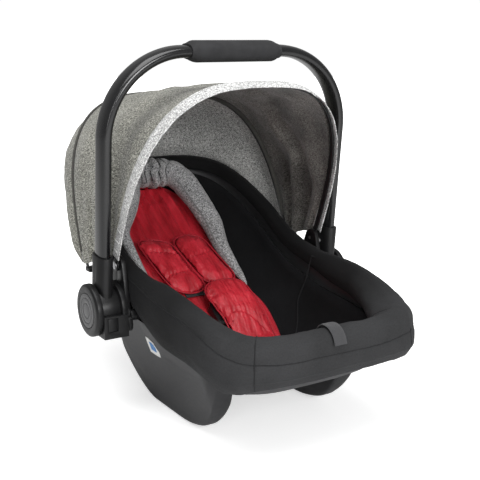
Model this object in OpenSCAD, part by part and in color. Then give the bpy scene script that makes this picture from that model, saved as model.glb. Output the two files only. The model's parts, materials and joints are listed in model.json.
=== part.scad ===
// Infant car seat (group 0+ carrier) with carrying handle, folding canopy and newborn insert.
// Millimetres, +Z up, +Y towards the head end, -Y towards the feet, X across the seat.
// The origin is on the ground, under the middle of the seat.

/* [Seat shell] */
// Half width of the shell wall at the rim
shell_half_w = 160; // [154:1:162]
// Distance from the hub axis to the foot end of the shell
foot_reach = 302; // [296:1:306]
// Distance from the hub axis to the head end of the shell
head_reach = 283; // [276:1:286]
// Thickness of the moulded shell wall
shell_t = 3; // [2.5:0.1:3.5]
// Thickness of the foam liner behind the back
foam_t = 13; // [10:0.5:14]
// Thickness of the padded seat cover
cover_t = 6; // [4:0.5:6]

/* [Rockers] */
// Half distance between the rockers where they touch the ground
rocker_half_w = 118; // [112:1:120]
// Height of the rocker's top edge in the middle
rocker_h = 150; // [142:1:151]
// Wall thickness of the hollow rockers
rocker_t = 3; // [2.5:0.1:4]

/* [Handle] */
// Half distance between the two legs of the handle tube
handle_half_w = 207; // [205:0.5:209]
// Height of the tube's top centre line above the hub axis
handle_h = 379; // [377:1:384]
// Radius of the two upper bends
bend_r = 124; // [110:1:134]
// Width of the oval tube across the seat
tube_w = 18; // [16:0.5:18]
// Depth of the oval tube along the seat
tube_d = 35; // [30:0.5:36]
// Length of the foam grip
grip_len = 144; // [120:1:150]
// Lean of the handle towards the feet in the carrying position
handle_lean = 5.8; // [0:0.1:8]

/* [Hub] */
// Height of the hub axis above the ground
hub_z = 171; // [170:0.5:172]
// Radius of the round hub cap
hub_r = 40; // [39:0.5:40]
// Radius of the release button
button_r = 26; // [24:0.5:26]

/* [Canopy] */
// Half width of the front bow
front_bow_w = 185; // [182:1:185]
// Height of the front bow above its pivot, along the bow
front_bow_h = 288; // [280:1:288]
// Forward lean of the open front bow
front_bow_lean = 22.6; // [15:0.1:24]
// Half width of the rear bow
rear_bow_w = 195; // [192:1:196]
// Height of the rear bow above its feet, along the bow
rear_bow_h = 279; // [268:1:281]
// Backward lean of the rear bow
rear_bow_lean = 22; // [20:0.1:22.5]

/* [Soft parts] */
// Thickness of the red newborn insert
insert_t = 13; // [10:0.5:14]
// Thickness of the shoulder pads
pad_t = 14; // [10:0.5:16]
// Radius of the head hugger roll
hugger_r = 25; // [18:0.5:26]
// Width of the harness webbing
webbing_w = 38; // [25:1:38]

/* [Hidden] */
$fn = 48;

hub_y = 10;                    // hub axis, measured from the middle of the seat
gap = 0.4;                     // clearance between neighbouring pieces
canopy_y = -3;                 // canopy pivot, measured from the hub axis
canopy_z = 235;
rear_foot = [85, 215];         // feet of the rear bow: y from the hub axis, height
rim_n_foot = 4.2;              // squareness of the rim outline, foot half
rim_n_head = 3.8;              // squareness of the rim outline, head half
bowl_n = 3;                    // squareness of the bowl's cross section
arch_n = 2.9;                  // squareness of the front bow
rear_n = 3.2;                  // squareness of the rear bow

// ---- colours ----
black_plastic = [0.13, 0.13, 0.14];
shell_grey = [0.23, 0.23, 0.25];
black_fabric = [0.10, 0.10, 0.11];
rim_fabric = [0.24, 0.25, 0.26];
red_fabric = [0.66, 0.14, 0.21];
melange = [0.48, 0.49, 0.46];
melange_light = [0.62, 0.62, 0.62];
webbing_grey = [0.25, 0.25, 0.26];
steel = [0.72, 0.72, 0.74];
button_grey = [0.47, 0.47, 0.48];
foam_white = [0.90, 0.90, 0.88];

// ---- small helpers ----
function mix(a, b, t) = a + (b - a) * t;
function ease(t) = t <= 0 ? 0 : t >= 1 ? 1 : t * t * (3 - 2 * t);
function root_curve(c, n) = sign(c) * pow(abs(c), 2 / n);
function super(a, b, n, t) = [a * root_curve(cos(t), n), b * root_curve(sin(t), n)];

// Smooth curve through hand-chosen [position, value] points.
function slope_at(p, i) =
    let (lo = max(i - 1, 0), hi = min(i + 1, len(p) - 1)) (p[hi][1] - p[lo][1]) / (p[hi][0] - p[lo][0]);
function segment(p, x, i = 0) = i >= len(p) - 2 || x < p[i + 1][0] ? i : segment(p, x, i + 1);
function curve(p, x) =
    let (i = segment(p, x), w = p[i + 1][0] - p[i][0], t = min(max((x - p[i][0]) / w, 0), 1))
    p[i][1] * (1 + 2 * t) * (1 - t) * (1 - t) + p[i + 1][1] * t * t * (3 - 2 * t)
    + slope_at(p, i) * w * t * (1 - t) * (1 - t) - slope_at(p, i + 1) * w * t * t * (1 - t);

module from_hub() { translate([0, hub_y, 0]) children(); }
// Places a shape drawn around the hub axis, with its own Z pointing out of the seat's side.
module on_hub(x) { from_hub() translate([x, 0, hub_z]) rotate([90, 0, 90]) children(); }

// Solid through a list of equal, closed loops of points. An end is closed by strips from each point of
// the loop's first half to its partner in the second half, so a loop may be a folded, open shape.
module skin(loops, closed = false) {
    m = len(loops[0]);
    k = len(loops);
    last = (k - 1) * m;
    ends = closed ? [] : [for (i = [0:m / 2 - 2])
        let (a = i, b = i + 1, c = m - 2 - i, d = m - 1 - i)
        each [[c, b, a], [d, c, a], [last + a, last + b, last + c], [last + a, last + c, last + d]]];
    sides = [for (j = [0:k - (closed ? 1 : 2)]) for (i = [0:m - 1])
        let (a = j * m + i, b = j * m + (i + 1) % m,
             c = ((j + 1) % k) * m + (i + 1) % m, d = ((j + 1) % k) * m + i)
        each [[a, b, c], [a, c, d]]];
    polyhedron(points = [for (l = loops) each l], faces = concat(ends, sides), convexity = 8);
}

// ---- seat bowl ----
// Height of the shell's rim, and of the bowl's floor before it turns up into the walls, along the seat.
rim_line = [[-306, 176], [-280, 179], [-250, 185], [-220, 194], [-190, 201], [-155, 207], [-120, 211],
            [-60, 216], [-20, 222], [33, 236],
            [104, 276], [177, 312], [225, 332], [262, 342], [286, 346]];
floor_line = [[-300, 62], [-240, 58], [-180, 54], [-120, 54], [-70, 60], [-30, 74], [0, 92], [60, 134],
              [120, 176], [200, 226], [250, 258], [286, 282]];
function rim_z(y) = curve(rim_line, y);
function floor_z(y) = curve(floor_line, y);
function floor_slope(y) = (floor_z(y + 2) - floor_z(y - 2)) / 4;
// Height of a layer's floor, a depth d inside the bowl's outer face.
function layer_z(y, d) = floor_z(y) + d * sqrt(1 + pow(floor_slope(y), 2));
function reach(y, d) = (y < 0 ? foot_reach : head_reach) - d;
function rim_n(y) = y < 0 ? rim_n_foot : rim_n_head;
// Point on the rim's outline, moved outwards.
function rim_point(t, out) =
    let (c = super(1, 1, rim_n(sin(t)), t)) [(shell_half_w + out) * c[0], reach(sin(t), -out) * c[1]];
// How far a point lies from the middle (0) to the rim's outline (1), and the height of the layer there.
function nearness(x, y, d) =
    let (n = rim_n(y)) min(pow(pow(abs(x) / (shell_half_w - d), n) + pow(abs(y) / reach(y, d), n), 1 / n), 1);
function wall_rise(s) = 1 - pow(1 - pow(s, bowl_n), 1 / bowl_n);
function bowl_z(x, y, d) = mix(layer_z(y, d), rim_z(y), wall_rise(nearness(x, y, d)));
// Half width of the bowl's outer face at a given height.
function bowl_half(y, z) =
    let (f = min(max((rim_z(y) - z) / (rim_z(y) - floor_z(y)), 0), 1),
         s = pow(1 - pow(f, bowl_n), 1 / bowl_n), n = rim_n(y))
    shell_half_w * pow(max(pow(s, n) - pow(abs(y) / reach(y, 0), n), 0), 1 / n);

// Rings run from the bowl's middle out to the rim; a ring shows one layer's height at each of its points.
ring_steps = [0.03, 0.09, 0.15, 0.21, 0.28, 0.37, 0.48, 0.6, 0.72, 0.82, 0.89, 0.94, 0.972, 0.99];
ring_count = 64;
function ring(points_at, count) = [for (j = [count - 1:-1:0]) points_at(360 * j / count)];
function bowl_ring(t, s, d) = let (p = s * rim_point(t, -d)) [p[0], p[1], bowl_z(p[0], p[1], d)];
function edge_point(t, out, up) = let (p = rim_point(t, out)) [p[0], p[1], rim_z(rim_point(t, 0)[1]) + up];

// The shell: outer face, rolled rim flange, inner face, as one moulding.
module seat_shell() {
    count = ring_count;
    flange = [[0, -3.2], [6, -3.2], [6, -9], [9, -9], [9, 0], [-shell_t, 0]];
    outer = [for (s = ring_steps) [for (j = [0:count - 1]) bowl_ring(360 * j / count, s, 0)]];
    lip = [for (q = flange) [for (j = [0:count - 1]) edge_point(360 * j / count, q[0], q[1])]];
    inner = [for (i = [len(ring_steps) - 1:-1:0])
        [for (j = [0:count - 1]) bowl_ring(360 * j / count, ring_steps[i], shell_t)]];
    color(shell_grey) from_hub() skin(concat(outer, lip, inner));
}

// A lining of the bowl between two depths, each a function of the place along the seat.
module lining(steps, back, front) {
    function layer(s, depth) = [for (j = [0:ring_count - 1])
        let (t = 360 * j / ring_count) bowl_ring(t, s, depth(rim_point(t, 0)[1] * s))];
    skin(concat([for (s = steps) layer(s, back)], [for (i = [len(steps) - 1:-1:0]) layer(steps[i], front)]));
}
// The foam is thick behind the back and the head, and thin under the legs.
function foam_depth(y) = mix(4, foam_t, ease((y + 76) / 60));
function cover_back(y) = shell_t + foam_depth(y) + 3 * gap;
function cover_depth(y) = cover_back(y) + cover_t;
module foam_liner() {
    color(foam_white) from_hub() lining([for (s = ring_steps) if (s < 0.95) s],
        function (y) shell_t + 3 * gap, function (y) cover_back(y) - 5 * gap);
}
module seat_cover() {
    color(black_fabric) from_hub()
        lining(ring_steps, function (y) cover_back(y), function (y) cover_depth(y));
}
// Surface that the child lies on.
function seat_z(x, y) = bowl_z(x, y, cover_depth(y));
function seat_slope(y) = atan((seat_z(0, y + 3) - seat_z(0, y - 3)) / 6);

// ---- rockers ----
rocker_foot = -196;
rocker_head = 112;
ground_line = [[-196, 88], [-190, 66], [-182, 50], [-168, 32], [-145, 14], [-107, 3], [-75, 0], [10, 0],
               [40, 7], [70, 24], [92, 47], [106, 74], [112, 92]];
function ground_z(y) = max(curve(ground_line, y), 0);
function rocker_top(y) = rocker_h + 38 * ease((y - 45) / 50) - 14 * ease((-150 - y) / 46);
function flare(z) = 36 * pow(z / 140, 1.6);
// Outer face of a runner of half width w at a height z, kept clear of the bowl.
function rocker_x(y, z, w) = max(w + flare(z), bowl_half(y, z) + rocker_t + 2);
// Hollow moulded runner: a channel that is open towards the bowl and closed at both ends.
module rocker(side) {
    stations = 22;
    loops = [for (j = [0:stations])
        let (u = 0.5 - 0.5 * cos(180 * j / stations), y = mix(rocker_foot, rocker_head, u), top = rocker_top(y),
             w = rocker_half_w - 10 * pow(abs(2 * u - 1), 10), xi = w - 24,
             zi = min(bowl_z(xi + 3, y, 0) - 2, top), g = min(ground_z(y), zi - 12), r = 5, t = rocker_t,
             low = g + r, mid = max(50, low + 1), knee = max(96, mid + 2),
             hip = mix(knee, top, 0.55), floor = j == 0 || j == stations ? zi - 3 : g + t,
             edge = min(floor + r, top - 0.8))
        concat([for (z = [top, hip, knee, mid, low]) [rocker_x(y, z, w), y, z]],
            [[w - r * 0.7, y, g], [xi + r, y, g], [xi, y, low], [xi, y, zi], [xi + t, y, zi],
             [xi + t, y, min(floor + r, zi)], [xi + t + r, y, min(floor, zi)],
             [w - r * 0.7 - t, y, min(floor, top - 1)]],
            [for (q = [[low, 0], [mid, 0.1], [knee, 0.2], [hip, 0.3], [top, 0]])
                [rocker_x(y, q[0], w) - t, y, q[0] == top ? top : max(q[0], edge + q[1])]])];
    color(shell_grey) from_hub() mirror([side < 0 ? 1 : 0, 0, 0]) skin([for (j = [stations:-1:0]) loops[j]]);
}
// Pan-head screw with its head's face above z = 0 and its shank along -Z.
module screw(r, length, head_r) {
    difference() {
        union() {
            cylinder(r = head_r, h = 2.2, $fn = 24);
            translate([0, 0, -length]) cylinder(r = r, h = length, $fn = 20);
        }
        for (a = [0, 90]) rotate(a) translate([0, 0, 2]) cube([head_r * 1.2, 0.9, 2.4], center = true);
    }
}
// Screws in the flat of each rocker, whose heads lie inside the hollow runner.
module rocker_screws() {
    color(steel) for (side = [-1, 1], y = [-58, -31, -4])
        from_hub() translate([side * (rocker_half_w - 12), y, rocker_t + 8]) screw(2, 8, 4.2);
}

// ---- rim ----
// Padded fabric roll around the rim: a channel that straddles the flange, full at the foot end and
// flat beside the hubs and round the head end.
skirt_line = [[-302, 49], [-286, 54], [-266, 64], [-240, 70], [-200, 66], [-126, 68], [-86, 61], [-45, 48],
              [4, 34], [40, 24], [286, 20]];
function fullness(y) = mix(1, 0, ease((y + 130) / 100));
function roll_loop(t) =
    let (y0 = rim_point(t, 0)[1], k = fullness(y0), s = curve(skirt_line, y0),
         up = mix(7, 13, k), w = mix(2.6, 9, k))
    [for (q = [[-12, -mix(16, 26, k)], [-12.5, -12], [-9, -1], [-2, 2], [9.6, 1.6], [10.6, -10],
               [10, -s * 0.7], [8, -s], [10 + w * 0.4, -s - 1], [11 + w * 0.9, -s * 0.75], [11 + w, -s * 0.4],
               [10.8 + w * 0.8, -6], [8 + w * 0.4, up * 0.55], [0, up], [-9, up * 0.8],
               [-13 - w * 0.6, 0], [-14 - w * 0.8, -12], [-14 - w * 0.6, -mix(16, 26, k)]])
        let (p = rim_point(t, q[0])) [p[0], p[1], rim_z(y0) + q[1]]];
module rim_cover() {
    color(rim_fabric) from_hub() skin(ring(function (t) roll_loop(t), ring_count), closed = true);
}

// ---- newborn insert, pads and hugger ----
// A pad that follows the seat's surface between heights h0 and h1 above it.
module seat_pad(y0, y1, h0, h1, half_w, x = 0, stations = 12, lift = function (y) 0) {
    columns = 5;
    loops = [for (j = [0:stations])
        let (u = j / stations, y = mix(y0, y1, u), s = 1 / cos(seat_slope(y)),
             l = lift(y), e = (h1 - h0) * 0.32, low = l + h0, high = l + h1,
             w = half_w * pow(max(1 - pow(abs(2 * u - 1), 5), 0.12), 0.5),
             xs = [for (k = [0:columns]) x + w * (2 * k / columns - 1)])
        concat([for (k = [0:columns])
                   [xs[k], y, seat_z(xs[k], y) + (low + (k == 0 || k == columns ? e : 0)) * s]],
               [for (k = [columns:-1:0])
                   [xs[k], y, seat_z(xs[k], y) + (high - (k == 0 || k == columns ? e : 0)) * s]])];
    skin([for (i = [len(loops) - 1:-1:0]) loops[i]]);
}
strap_h = insert_t + 1.5;      // webbing lies on the insert
pad_h = strap_h + 2.2;         // pads lie on the webbing
module newborn_insert() {
    color(red_fabric) from_hub() seat_pad(-96, 236, 1.6, insert_t, 76, 0, 24);
}
module shoulder_pad(side) {
    color(red_fabric) from_hub() seat_pad(28, 118, pad_h, pad_h + pad_t, 28.5, side * 30);
}
// The crotch pad lies on the insert at the front and folds up over the buckle.
module crotch_pad() {
    over = buckle_h + 16.4 - pad_h;
    color(red_fabric) from_hub()
        seat_pad(-94, 22, pad_h, pad_h + 14, 37, 0, 14, function (y) over * ease((y + 76) / 38));
}
// Horseshoe roll that holds the head; it lies on the insert.
module head_hugger() {
    count = 24;
    loops = [for (j = [0:count])
        let (a = -20 + 220 * j / count, lift = ease(sin(a) * 0.9 + 0.35), r = mix(6, hugger_r, lift),
             x = 83 * root_curve(cos(a), 2.6), y = mix(28, 218, ease((sin(a) + 0.35) / 1.35)),
             s = seat_slope(y), z = seat_z(0, y) + (insert_t + 2 + r) / cos(s))
        [for (i = [0:9]) let (b = 36 * i, n = [cos(a), sin(a)])
            [x + r * cos(b) * n[0], y + r * cos(b) * n[1] * cos(s) - r * sin(b) * sin(s),
             z + r * cos(b) * n[1] * sin(s) + r * sin(b) * cos(s)]]];
    color(melange_light) from_hub() skin([for (i = [count:-1:0]) loops[i]]);
}

// ---- harness ----
module shoulder_strap(side) {
    color(webbing_grey) from_hub() {
        seat_strip(24, 122, strap_h, 1.4, webbing_w / 2 - 2, side * 30);
    }
}
// A strip of webbing that follows the seat's surface at height h.
module seat_strip(y0, y1, h, t, half_w, x) {
    loops = [for (j = [0:12])
        let (y = mix(y0, y1, j / 12), z = seat_z(0, y), s = 1 / cos(seat_slope(y)))
        [[x - half_w, y, z + h * s], [x + half_w, y, z + h * s],
         [x + half_w, y, z + (h + t) * s], [x - half_w, y, z + (h + t) * s]]];
    skin([for (i = [12:-1:0]) loops[i]]);
}
module crotch_strap() {
    color(webbing_grey) from_hub() seat_strip(-88, -62, strap_h, 1.4, webbing_w / 2 - 2, 0);
}
// Places a flat fitting on the seat's centre line, square to the surface, at height h.
module on_seat(y, h) {
    from_hub() translate([0, y, seat_z(0, y)]) rotate([seat_slope(y), 0, 0]) translate([0, 0, h]) children();
}
buckle_y = -8;
buckle_h = insert_t + 4.2;
module buckle_body() {
    color(black_plastic) on_seat(buckle_y, buckle_h) difference() {
        linear_extrude(13) offset(r = 8, $fn = 32) square([36, 30], center = true);
        translate([0, 0, 9]) cylinder(r = button_hole_r, h = 10);
        translate([0, 14, 5.4]) cube([43, 22, 4.2], center = true);
    }
}
button_hole_r = 12;
module buckle_button() {
    color([0.62, 0.12, 0.12]) on_seat(buckle_y, buckle_h + 11.2) cylinder(r = button_hole_r - gap, h = 4);
}
module buckle_tongues() {
    color(steel) for (side = [-1, 1]) on_seat(buckle_y, buckle_h + 4.4) difference() {
        translate([side * 11 - 9.5, 4.5, 0]) cube([19, 24, 2]);
        translate([side * 11, 23, -1]) cube([13, 5, 8], center = true);
    }
}
// Yoke behind the back that joins both shoulder straps to the adjuster strap.
module splitter_plate() {
    color(steel) from_hub() translate([0, 108, bowl_z(0, 108, 0) - 7]) rotate([atan(floor_slope(108)), 0, 0])
        difference() {
            linear_extrude(2.5) offset(r = 4, $fn = 24) square([74, 30], center = true);
            for (x = [-19, 19]) translate([x, 8, -1]) cube([28, 5, 8], center = true);
            translate([0, -9, -1]) cube([40, 5, 8], center = true);
        }
}
// Harness adjuster at the foot end: housing, cam lever and the strap that pulls the harness tight.
adjuster_y = -222;
module adjuster_housing() {
    color(black_plastic) on_seat(adjuster_y, 1.6) difference() {
        translate([-27, -17, 0]) cube([54, 34, 13]);
        translate([-20.5, -12, 2.5]) cube([41, 30, 12]);
        translate([-11.5, -18, 7]) cube([23, 8, 8]);
        translate([0, 8, 8]) rotate([0, 90, 0]) cylinder(r = 2.1, h = 60, center = true);
    }
}
module adjuster_lever() {
    color(steel) on_seat(adjuster_y, 1.6) union() {
        translate([0, 8, 8]) rotate([0, 90, 0]) cylinder(r = 2, h = 52, center = true);
        translate([-19, -9, 7]) cube([38, 18, 2.4]);
    }
}
strap_route = [[-232, 109], [-246, 112], [-260, 122], [-271, 137], [-277, 156], [-277, 172], [-281, 183],
               [-291, 191.5], [-302, 193], [-313, 189]];
module adjuster_strap() {
    t = 1.6;
    color(webbing_grey) from_hub() translate([-webbing_w / 2 + 9, 0, 0]) rotate([90, 0, 90])
        linear_extrude(webbing_w - 18) polygon(concat(strap_route,
            [for (i = [len(strap_route) - 1:-1:0])
                let (a = strap_route[max(i - 1, 0)], b = strap_route[min(i + 1, len(strap_route) - 1)],
                     d = b - a)
                strap_route[i] + t * [d[1], -d[0]] / norm(d)]));
}

// ---- side brackets and hubs ----
bracket_x = 176;               // inner face of the bracket's plate
bracket_t = 6;
plate_x = bracket_x + bracket_t;
hub_in = plate_x + gap;        // inner face of the fixed hub base
socket_in = 191;               // inner face of the handle's socket
socket_out = 219;
arm_w = 24;                   // width of the socket's arm round the tube
module bracket_outline() {
    hull() {
        circle(r = 34);
        translate([-6, canopy_z - hub_z]) circle(r = 15);
    }
    hull() {
        translate([-30, -20]) circle(r = 12);
        translate([34, -20]) circle(r = 12);
    }
}
module side_bracket(side) {
    color(black_plastic) mirror([side < 0 ? 1 : 0, 0, 0]) difference() {
        union() {
            on_hub(bracket_x) linear_extrude(bracket_t) bracket_outline();
            for (y = [-30, 34]) let (x = bowl_half(y, hub_z + 1) + gap)
                on_hub(x) translate([y, -8, 0]) cylinder(r = 9, h = bracket_x + 1 - x);
        }
        on_hub(bracket_x - 1) translate([canopy_y, canopy_z - hub_z, 0]) cylinder(r = 3.1, h = 20);
        on_hub(bracket_x - 1) cylinder(r = 10.05, h = 20);
        on_hub(bracket_x - 30) for (y = [-30, 34]) translate([y, -8, 0]) cylinder(r = 2.6, h = 60);
    }
}
module bracket_screws() {
    color(steel) for (side = [-1, 1], y = [-30, 34]) mirror([side < 0 ? 1 : 0, 0, 0])
        on_hub(bracket_x) translate([y, -8, -6]) cylinder(r = 2.5, h = 12.4, $fn = 24);
}
block_front = -hub_r;          // front face of the adapter block
block_floor = -37;             // underside of the block, from the hub axis
module hub_base(side) {
    color(black_plastic) mirror([side < 0 ? 1 : 0, 0, 0]) difference() {
        union() {
            on_hub(hub_in) cylinder(r = hub_r - 1, h = socket_in - gap - hub_in, $fn = 72);
            on_hub(hub_in) linear_extrude(socket_out + 2 - hub_in) difference() {
                union() {
                    translate([block_front, block_floor]) square([hub_r, -block_floor - 3]);
                    intersection() {
                        circle(r = hub_r - 1, $fn = 72);
                        translate([-hub_r, block_floor - 4]) square([hub_r + 8, -block_floor - 14]);
                    }
                }
                circle(r = 33, $fn = 72);
            }
        }
        on_hub(hub_in - 1) cylinder(r = 10.05, h = 30);
        // recess for the adapter release button, and the post socket under the block
        from_hub() translate([socket_in + 8, block_front - 1, hub_z - 27]) cube([16, 7.6, 21]);
        from_hub() translate([206, -32, hub_z + block_floor - 1]) cylinder(r = 5.2, h = 10);
    }
}
module hub_pin(side) {
    color(steel) mirror([side < 0 ? 1 : 0, 0, 0]) union() {
        on_hub(bracket_x - 1.5) cylinder(r = 14, h = 1.5);
        on_hub(bracket_x - 1.5) cylinder(r = 10, h = 199.8 - bracket_x);
        on_hub(197.4) cylinder(r = 14, h = 1.6);
    }
}
module adapter_button(side) {
    color([0.19, 0.19, 0.20]) mirror([side < 0 ? 1 : 0, 0, 0]) from_hub()
        translate([socket_in + 8 + gap, block_front + 0.8, hub_z - 27 + gap])
            cube([16 - 2 * gap, 3.2, 21 - 2 * gap]);
}

// ---- handle ----
module in_handle() { from_hub() translate([0, 0, hub_z]) rotate([handle_lean, 0, 0]) children(); }
module oval(w, d) {
    polygon([for (a = [0:15:345]) [w / 2 * root_curve(cos(a), 2.5), d / 2 * root_curve(sin(a), 2.5)]]);
}
leg_foot = 34;                 // lower end of the tube, inside the socket
leg_top = handle_h - bend_r;
module tube_half(w, d, over) {
    translate([handle_half_w, 0, leg_foot - over]) linear_extrude(leg_top - leg_foot + over) oval(w, d);
    translate([handle_half_w - bend_r, 0, leg_top]) rotate([90, 0, 0])
        rotate_extrude(angle = 90, $fn = 96) translate([bend_r, 0]) oval(w, d);
    translate([0, 0, handle_h]) rotate([0, 90, 0])
        linear_extrude(handle_half_w - bend_r) oval(w, d);
}
module handle_tube() {
    color(black_plastic) in_handle() difference() {
        for (side = [0, 1]) mirror([side, 0, 0]) tube_half(tube_w, tube_d, 0);
        for (side = [0, 1]) mirror([side, 0, 0]) tube_half(tube_w - 3.2, tube_d - 3.2, 1);
        for (x = [-1, 1]) translate([x * handle_half_w, 0, leg_foot + 24]) rotate([0, 90, 0])
            cylinder(r = 2.2, h = 40, center = true, $fn = 24);
    }
}
module grip() {
    color([0.17, 0.17, 0.18]) in_handle() translate([0, 0, handle_h]) rotate([0, 90, 0]) difference() {
        union() {
            translate([0, 0, -grip_len / 2]) linear_extrude(grip_len) oval(31, 45);
            translate([0, 0, -grip_len / 2 - 4]) linear_extrude(grip_len + 8) oval(27, 41);
        }
        translate([0, 0, -grip_len]) linear_extrude(2 * grip_len) oval(tube_w + 0.3, tube_d + 0.3);
    }
}
module socket(side) {
    color(black_plastic) mirror([side < 0 ? 1 : 0, 0, 0]) in_handle() difference() {
        union() {
            translate([socket_in, 0, 0]) rotate([90, 0, 90])
                cylinder(r = 32, h = socket_out - socket_in, $fn = 72);
            translate([handle_half_w, 0, 0]) linear_extrude(84) oval(arm_w, 45);
        }
        translate([handle_half_w, 0, leg_foot]) linear_extrude(60) oval(tube_w + 0.4, tube_d + 0.4);
        translate([socket_in - 1, 0, 0]) rotate([90, 0, 90]) cylinder(r = 10.1, h = 40);
        translate([197, 0, 0]) rotate([90, 0, 90]) linear_extrude(30) gear_outline(25.4);
        translate([socket_in, 0, leg_foot + 24]) rotate([0, 90, 0]) cylinder(r = 2.2, h = 25.6, $fn = 24);
    }
}
module handle_screws() {
    color(steel) for (side = [0, 1]) mirror([side, 0, 0]) in_handle()
        translate([handle_half_w - arm_w / 2 - 0.05, 0, leg_foot + 24]) rotate([0, -90, 0]) screw(2, 21, 3.8);
}
// Twelve-lobed outline shared by the lock gear and the socket it slides in.
module gear_outline(r) {
    circle(r = r - 2.6);
    for (i = [0:11]) rotate(30 * i) translate([r - 4, 0]) square([8, 6], center = true);
}
module hub_cap(side) {
    color(black_plastic) mirror([side < 0 ? 1 : 0, 0, 0]) difference() {
        union() {
            on_hub(socket_out + 2.4) cylinder(r = hub_r, h = 8, $fn = 96);
            on_hub(socket_out + 2.4 + 8) cylinder(r1 = hub_r, r2 = hub_r - 3, h = 2.6, $fn = 96);
            on_hub(socket_out + 0.05) cylinder(r = 31, h = 3, $fn = 96);
        }
        on_hub(socket_out) cylinder(r = button_r + gap, h = 20, $fn = 96);
    }
}
module release_button(side) {
    color(button_grey) mirror([side < 0 ? 1 : 0, 0, 0]) difference() {
        union() {
            on_hub(224) cylinder(r = button_r, h = 8.5, $fn = 96);
            on_hub(212.2) cylinder(r = 7, h = 12);
        }
        for (r = [11, 19]) on_hub(231.7) difference() {
            cylinder(r = r + 0.8, h = 2, $fn = 96);
            translate([0, 0, -1]) cylinder(r = r, h = 4, $fn = 96);
        }
    }
}
module lock_gear(side) {
    color(steel) mirror([side < 0 ? 1 : 0, 0, 0]) on_hub(206)
        rotate(handle_lean) linear_extrude(6) gear_outline(25);
}
module button_spring(side) {
    turns = 4;
    sides = 6;
    color(steel) mirror([side < 0 ? 1 : 0, 0, 0]) on_hub(200) skin([for (i = [0:turns * 12])
        let (a = 30 * i, z = 0.8 + 4.3 * i / (turns * 12)) [for (k = [0:sides - 1])
            let (b = -360 * k / sides, r = 6 + 0.45 * cos(b)) [r * cos(a), r * sin(a), z + 0.45 * sin(b)]]]);
}

// ---- canopy ----
function front_point(t, out) =
    let (p = super(front_bow_w + out, front_bow_h + out, arch_n, t))
    [p[0], canopy_y - p[1] * sin(front_bow_lean), canopy_z + p[1] * cos(front_bow_lean)];
function rear_point(t, out) =
    let (p = super(rear_bow_w + out, rear_bow_h + out, rear_n, t))
    [p[0], rear_foot[0] + p[1] * sin(rear_bow_lean), rear_foot[1] + p[1] * cos(rear_bow_lean)];
module arch_strip(a, b, t, w, n = arch_n) {
    points = [for (i = [0:36]) super(a, b, n, 5 * i)];
    inner = [for (i = [36:-1:0]) super(a - t, b - t, n, 5 * i)];
    rotate([90, 0, 0]) linear_extrude(w, center = true) polygon(concat(points, inner));
}
module front_bow_frame() {
    from_hub() translate([0, canopy_y, canopy_z]) rotate([front_bow_lean, 0, 0]) children();
}
module canopy_front_bow() {
    color(black_plastic) front_bow_frame() difference() {
        union() {
            arch_strip(front_bow_w - 0.2, front_bow_h, 2.4, 9);
            for (side = [-1, 1]) translate([side * (front_bow_w - 1.4), 0, 0]) rotate([0, 90, 0])
                cylinder(r = 9, h = 2.4, center = true);
        }
        rotate([0, 90, 0]) cylinder(r = 3.1, h = 500, center = true);
    }
}
module canopy_front_hem() {
    color(melange_light) front_bow_frame() intersection() {
        arch_strip(front_bow_w + 2, front_bow_h + 2, 1.6, 22);
        translate([-300, -20, 14]) cube([600, 40, 400]);
    }
}
module canopy_rear_bow() {
    color(black_plastic) from_hub() translate([0, rear_foot[0], rear_foot[1]]) rotate([-rear_bow_lean, 0, 0])
        arch_strip(rear_bow_w - 1.4, rear_bow_h - 1.4, 2.4, 8, rear_n);
}
// Thin sheet between two families of points, given as functions of the arch angle and of the way across.
module sheet(outer, inner, n_arch, n_across) {
    loops = [for (i = [0:n_arch])
        let (t = mix(0.6, 179.4, 0.5 - 0.5 * cos(180 * i / n_arch)))
        concat([for (j = [0:n_across]) outer(t, j / n_across)],
               [for (j = [n_across:-1:0]) inner(t, j / n_across)])];
    skin(loops);
}
// The panel starts behind the hem's rear edge and ends on the rear bow.
function top_fabric(t, s, out) =
    let (a = front_point(t, out), b = rear_point(t, out)) mix(a, b, mix(13.6 / norm(b - a), 0.985, s));
module canopy_top_panel() {
    color(melange) from_hub()
        sheet(function (t, s) top_fabric(t, s, 1.6), function (t, s) top_fabric(t, s, 0.2), 40, 5);
}
// The back panel runs from the rear bow down to the shell's head end and hooks round its rim.
function hook_point(t, out) =
    let (a = mix(26, 154, t / 180), p = rim_point(a, 17 + out)) [p[0], p[1], rim_z(rim_point(a, 0)[1]) - 6];
function back_fabric(t, s, out) =
    let (a = rear_point(t, out), b = hook_point(t, out), bulge = 9 * sin(180 * s) * sin(t))
    mix(a, b, s) + [0, bulge * 0.8, bulge * 0.6];
module canopy_back_panel() {
    color(melange) from_hub()
        sheet(function (t, s) back_fabric(t, mix(0.02, 1, s), 1.6),
              function (t, s) back_fabric(t, mix(0.02, 1, s), 0.2), 40, 6);
}
module canopy_pivot_pins() {
    color(steel) for (side = [0, 1]) mirror([side, 0, 0]) on_hub(bracket_x) union() {
        translate([canopy_y, canopy_z - hub_z, 0]) cylinder(r = 3, h = 10);
        translate([canopy_y, canopy_z - hub_z, 9.2]) cylinder(r = 6, h = 1.4);
    }
}
module rear_bow_clips() {
    color(black_plastic) for (side = [0, 1]) mirror([side, 0, 0]) from_hub()
        let (x = bowl_half(rear_foot[0] - 8, rear_foot[1]) + gap)
            translate([x, rear_foot[0] - 8, rear_foot[1] - 8]) cube([rear_bow_w - 1.7 - x, 16, 7.4]);
}

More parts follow.
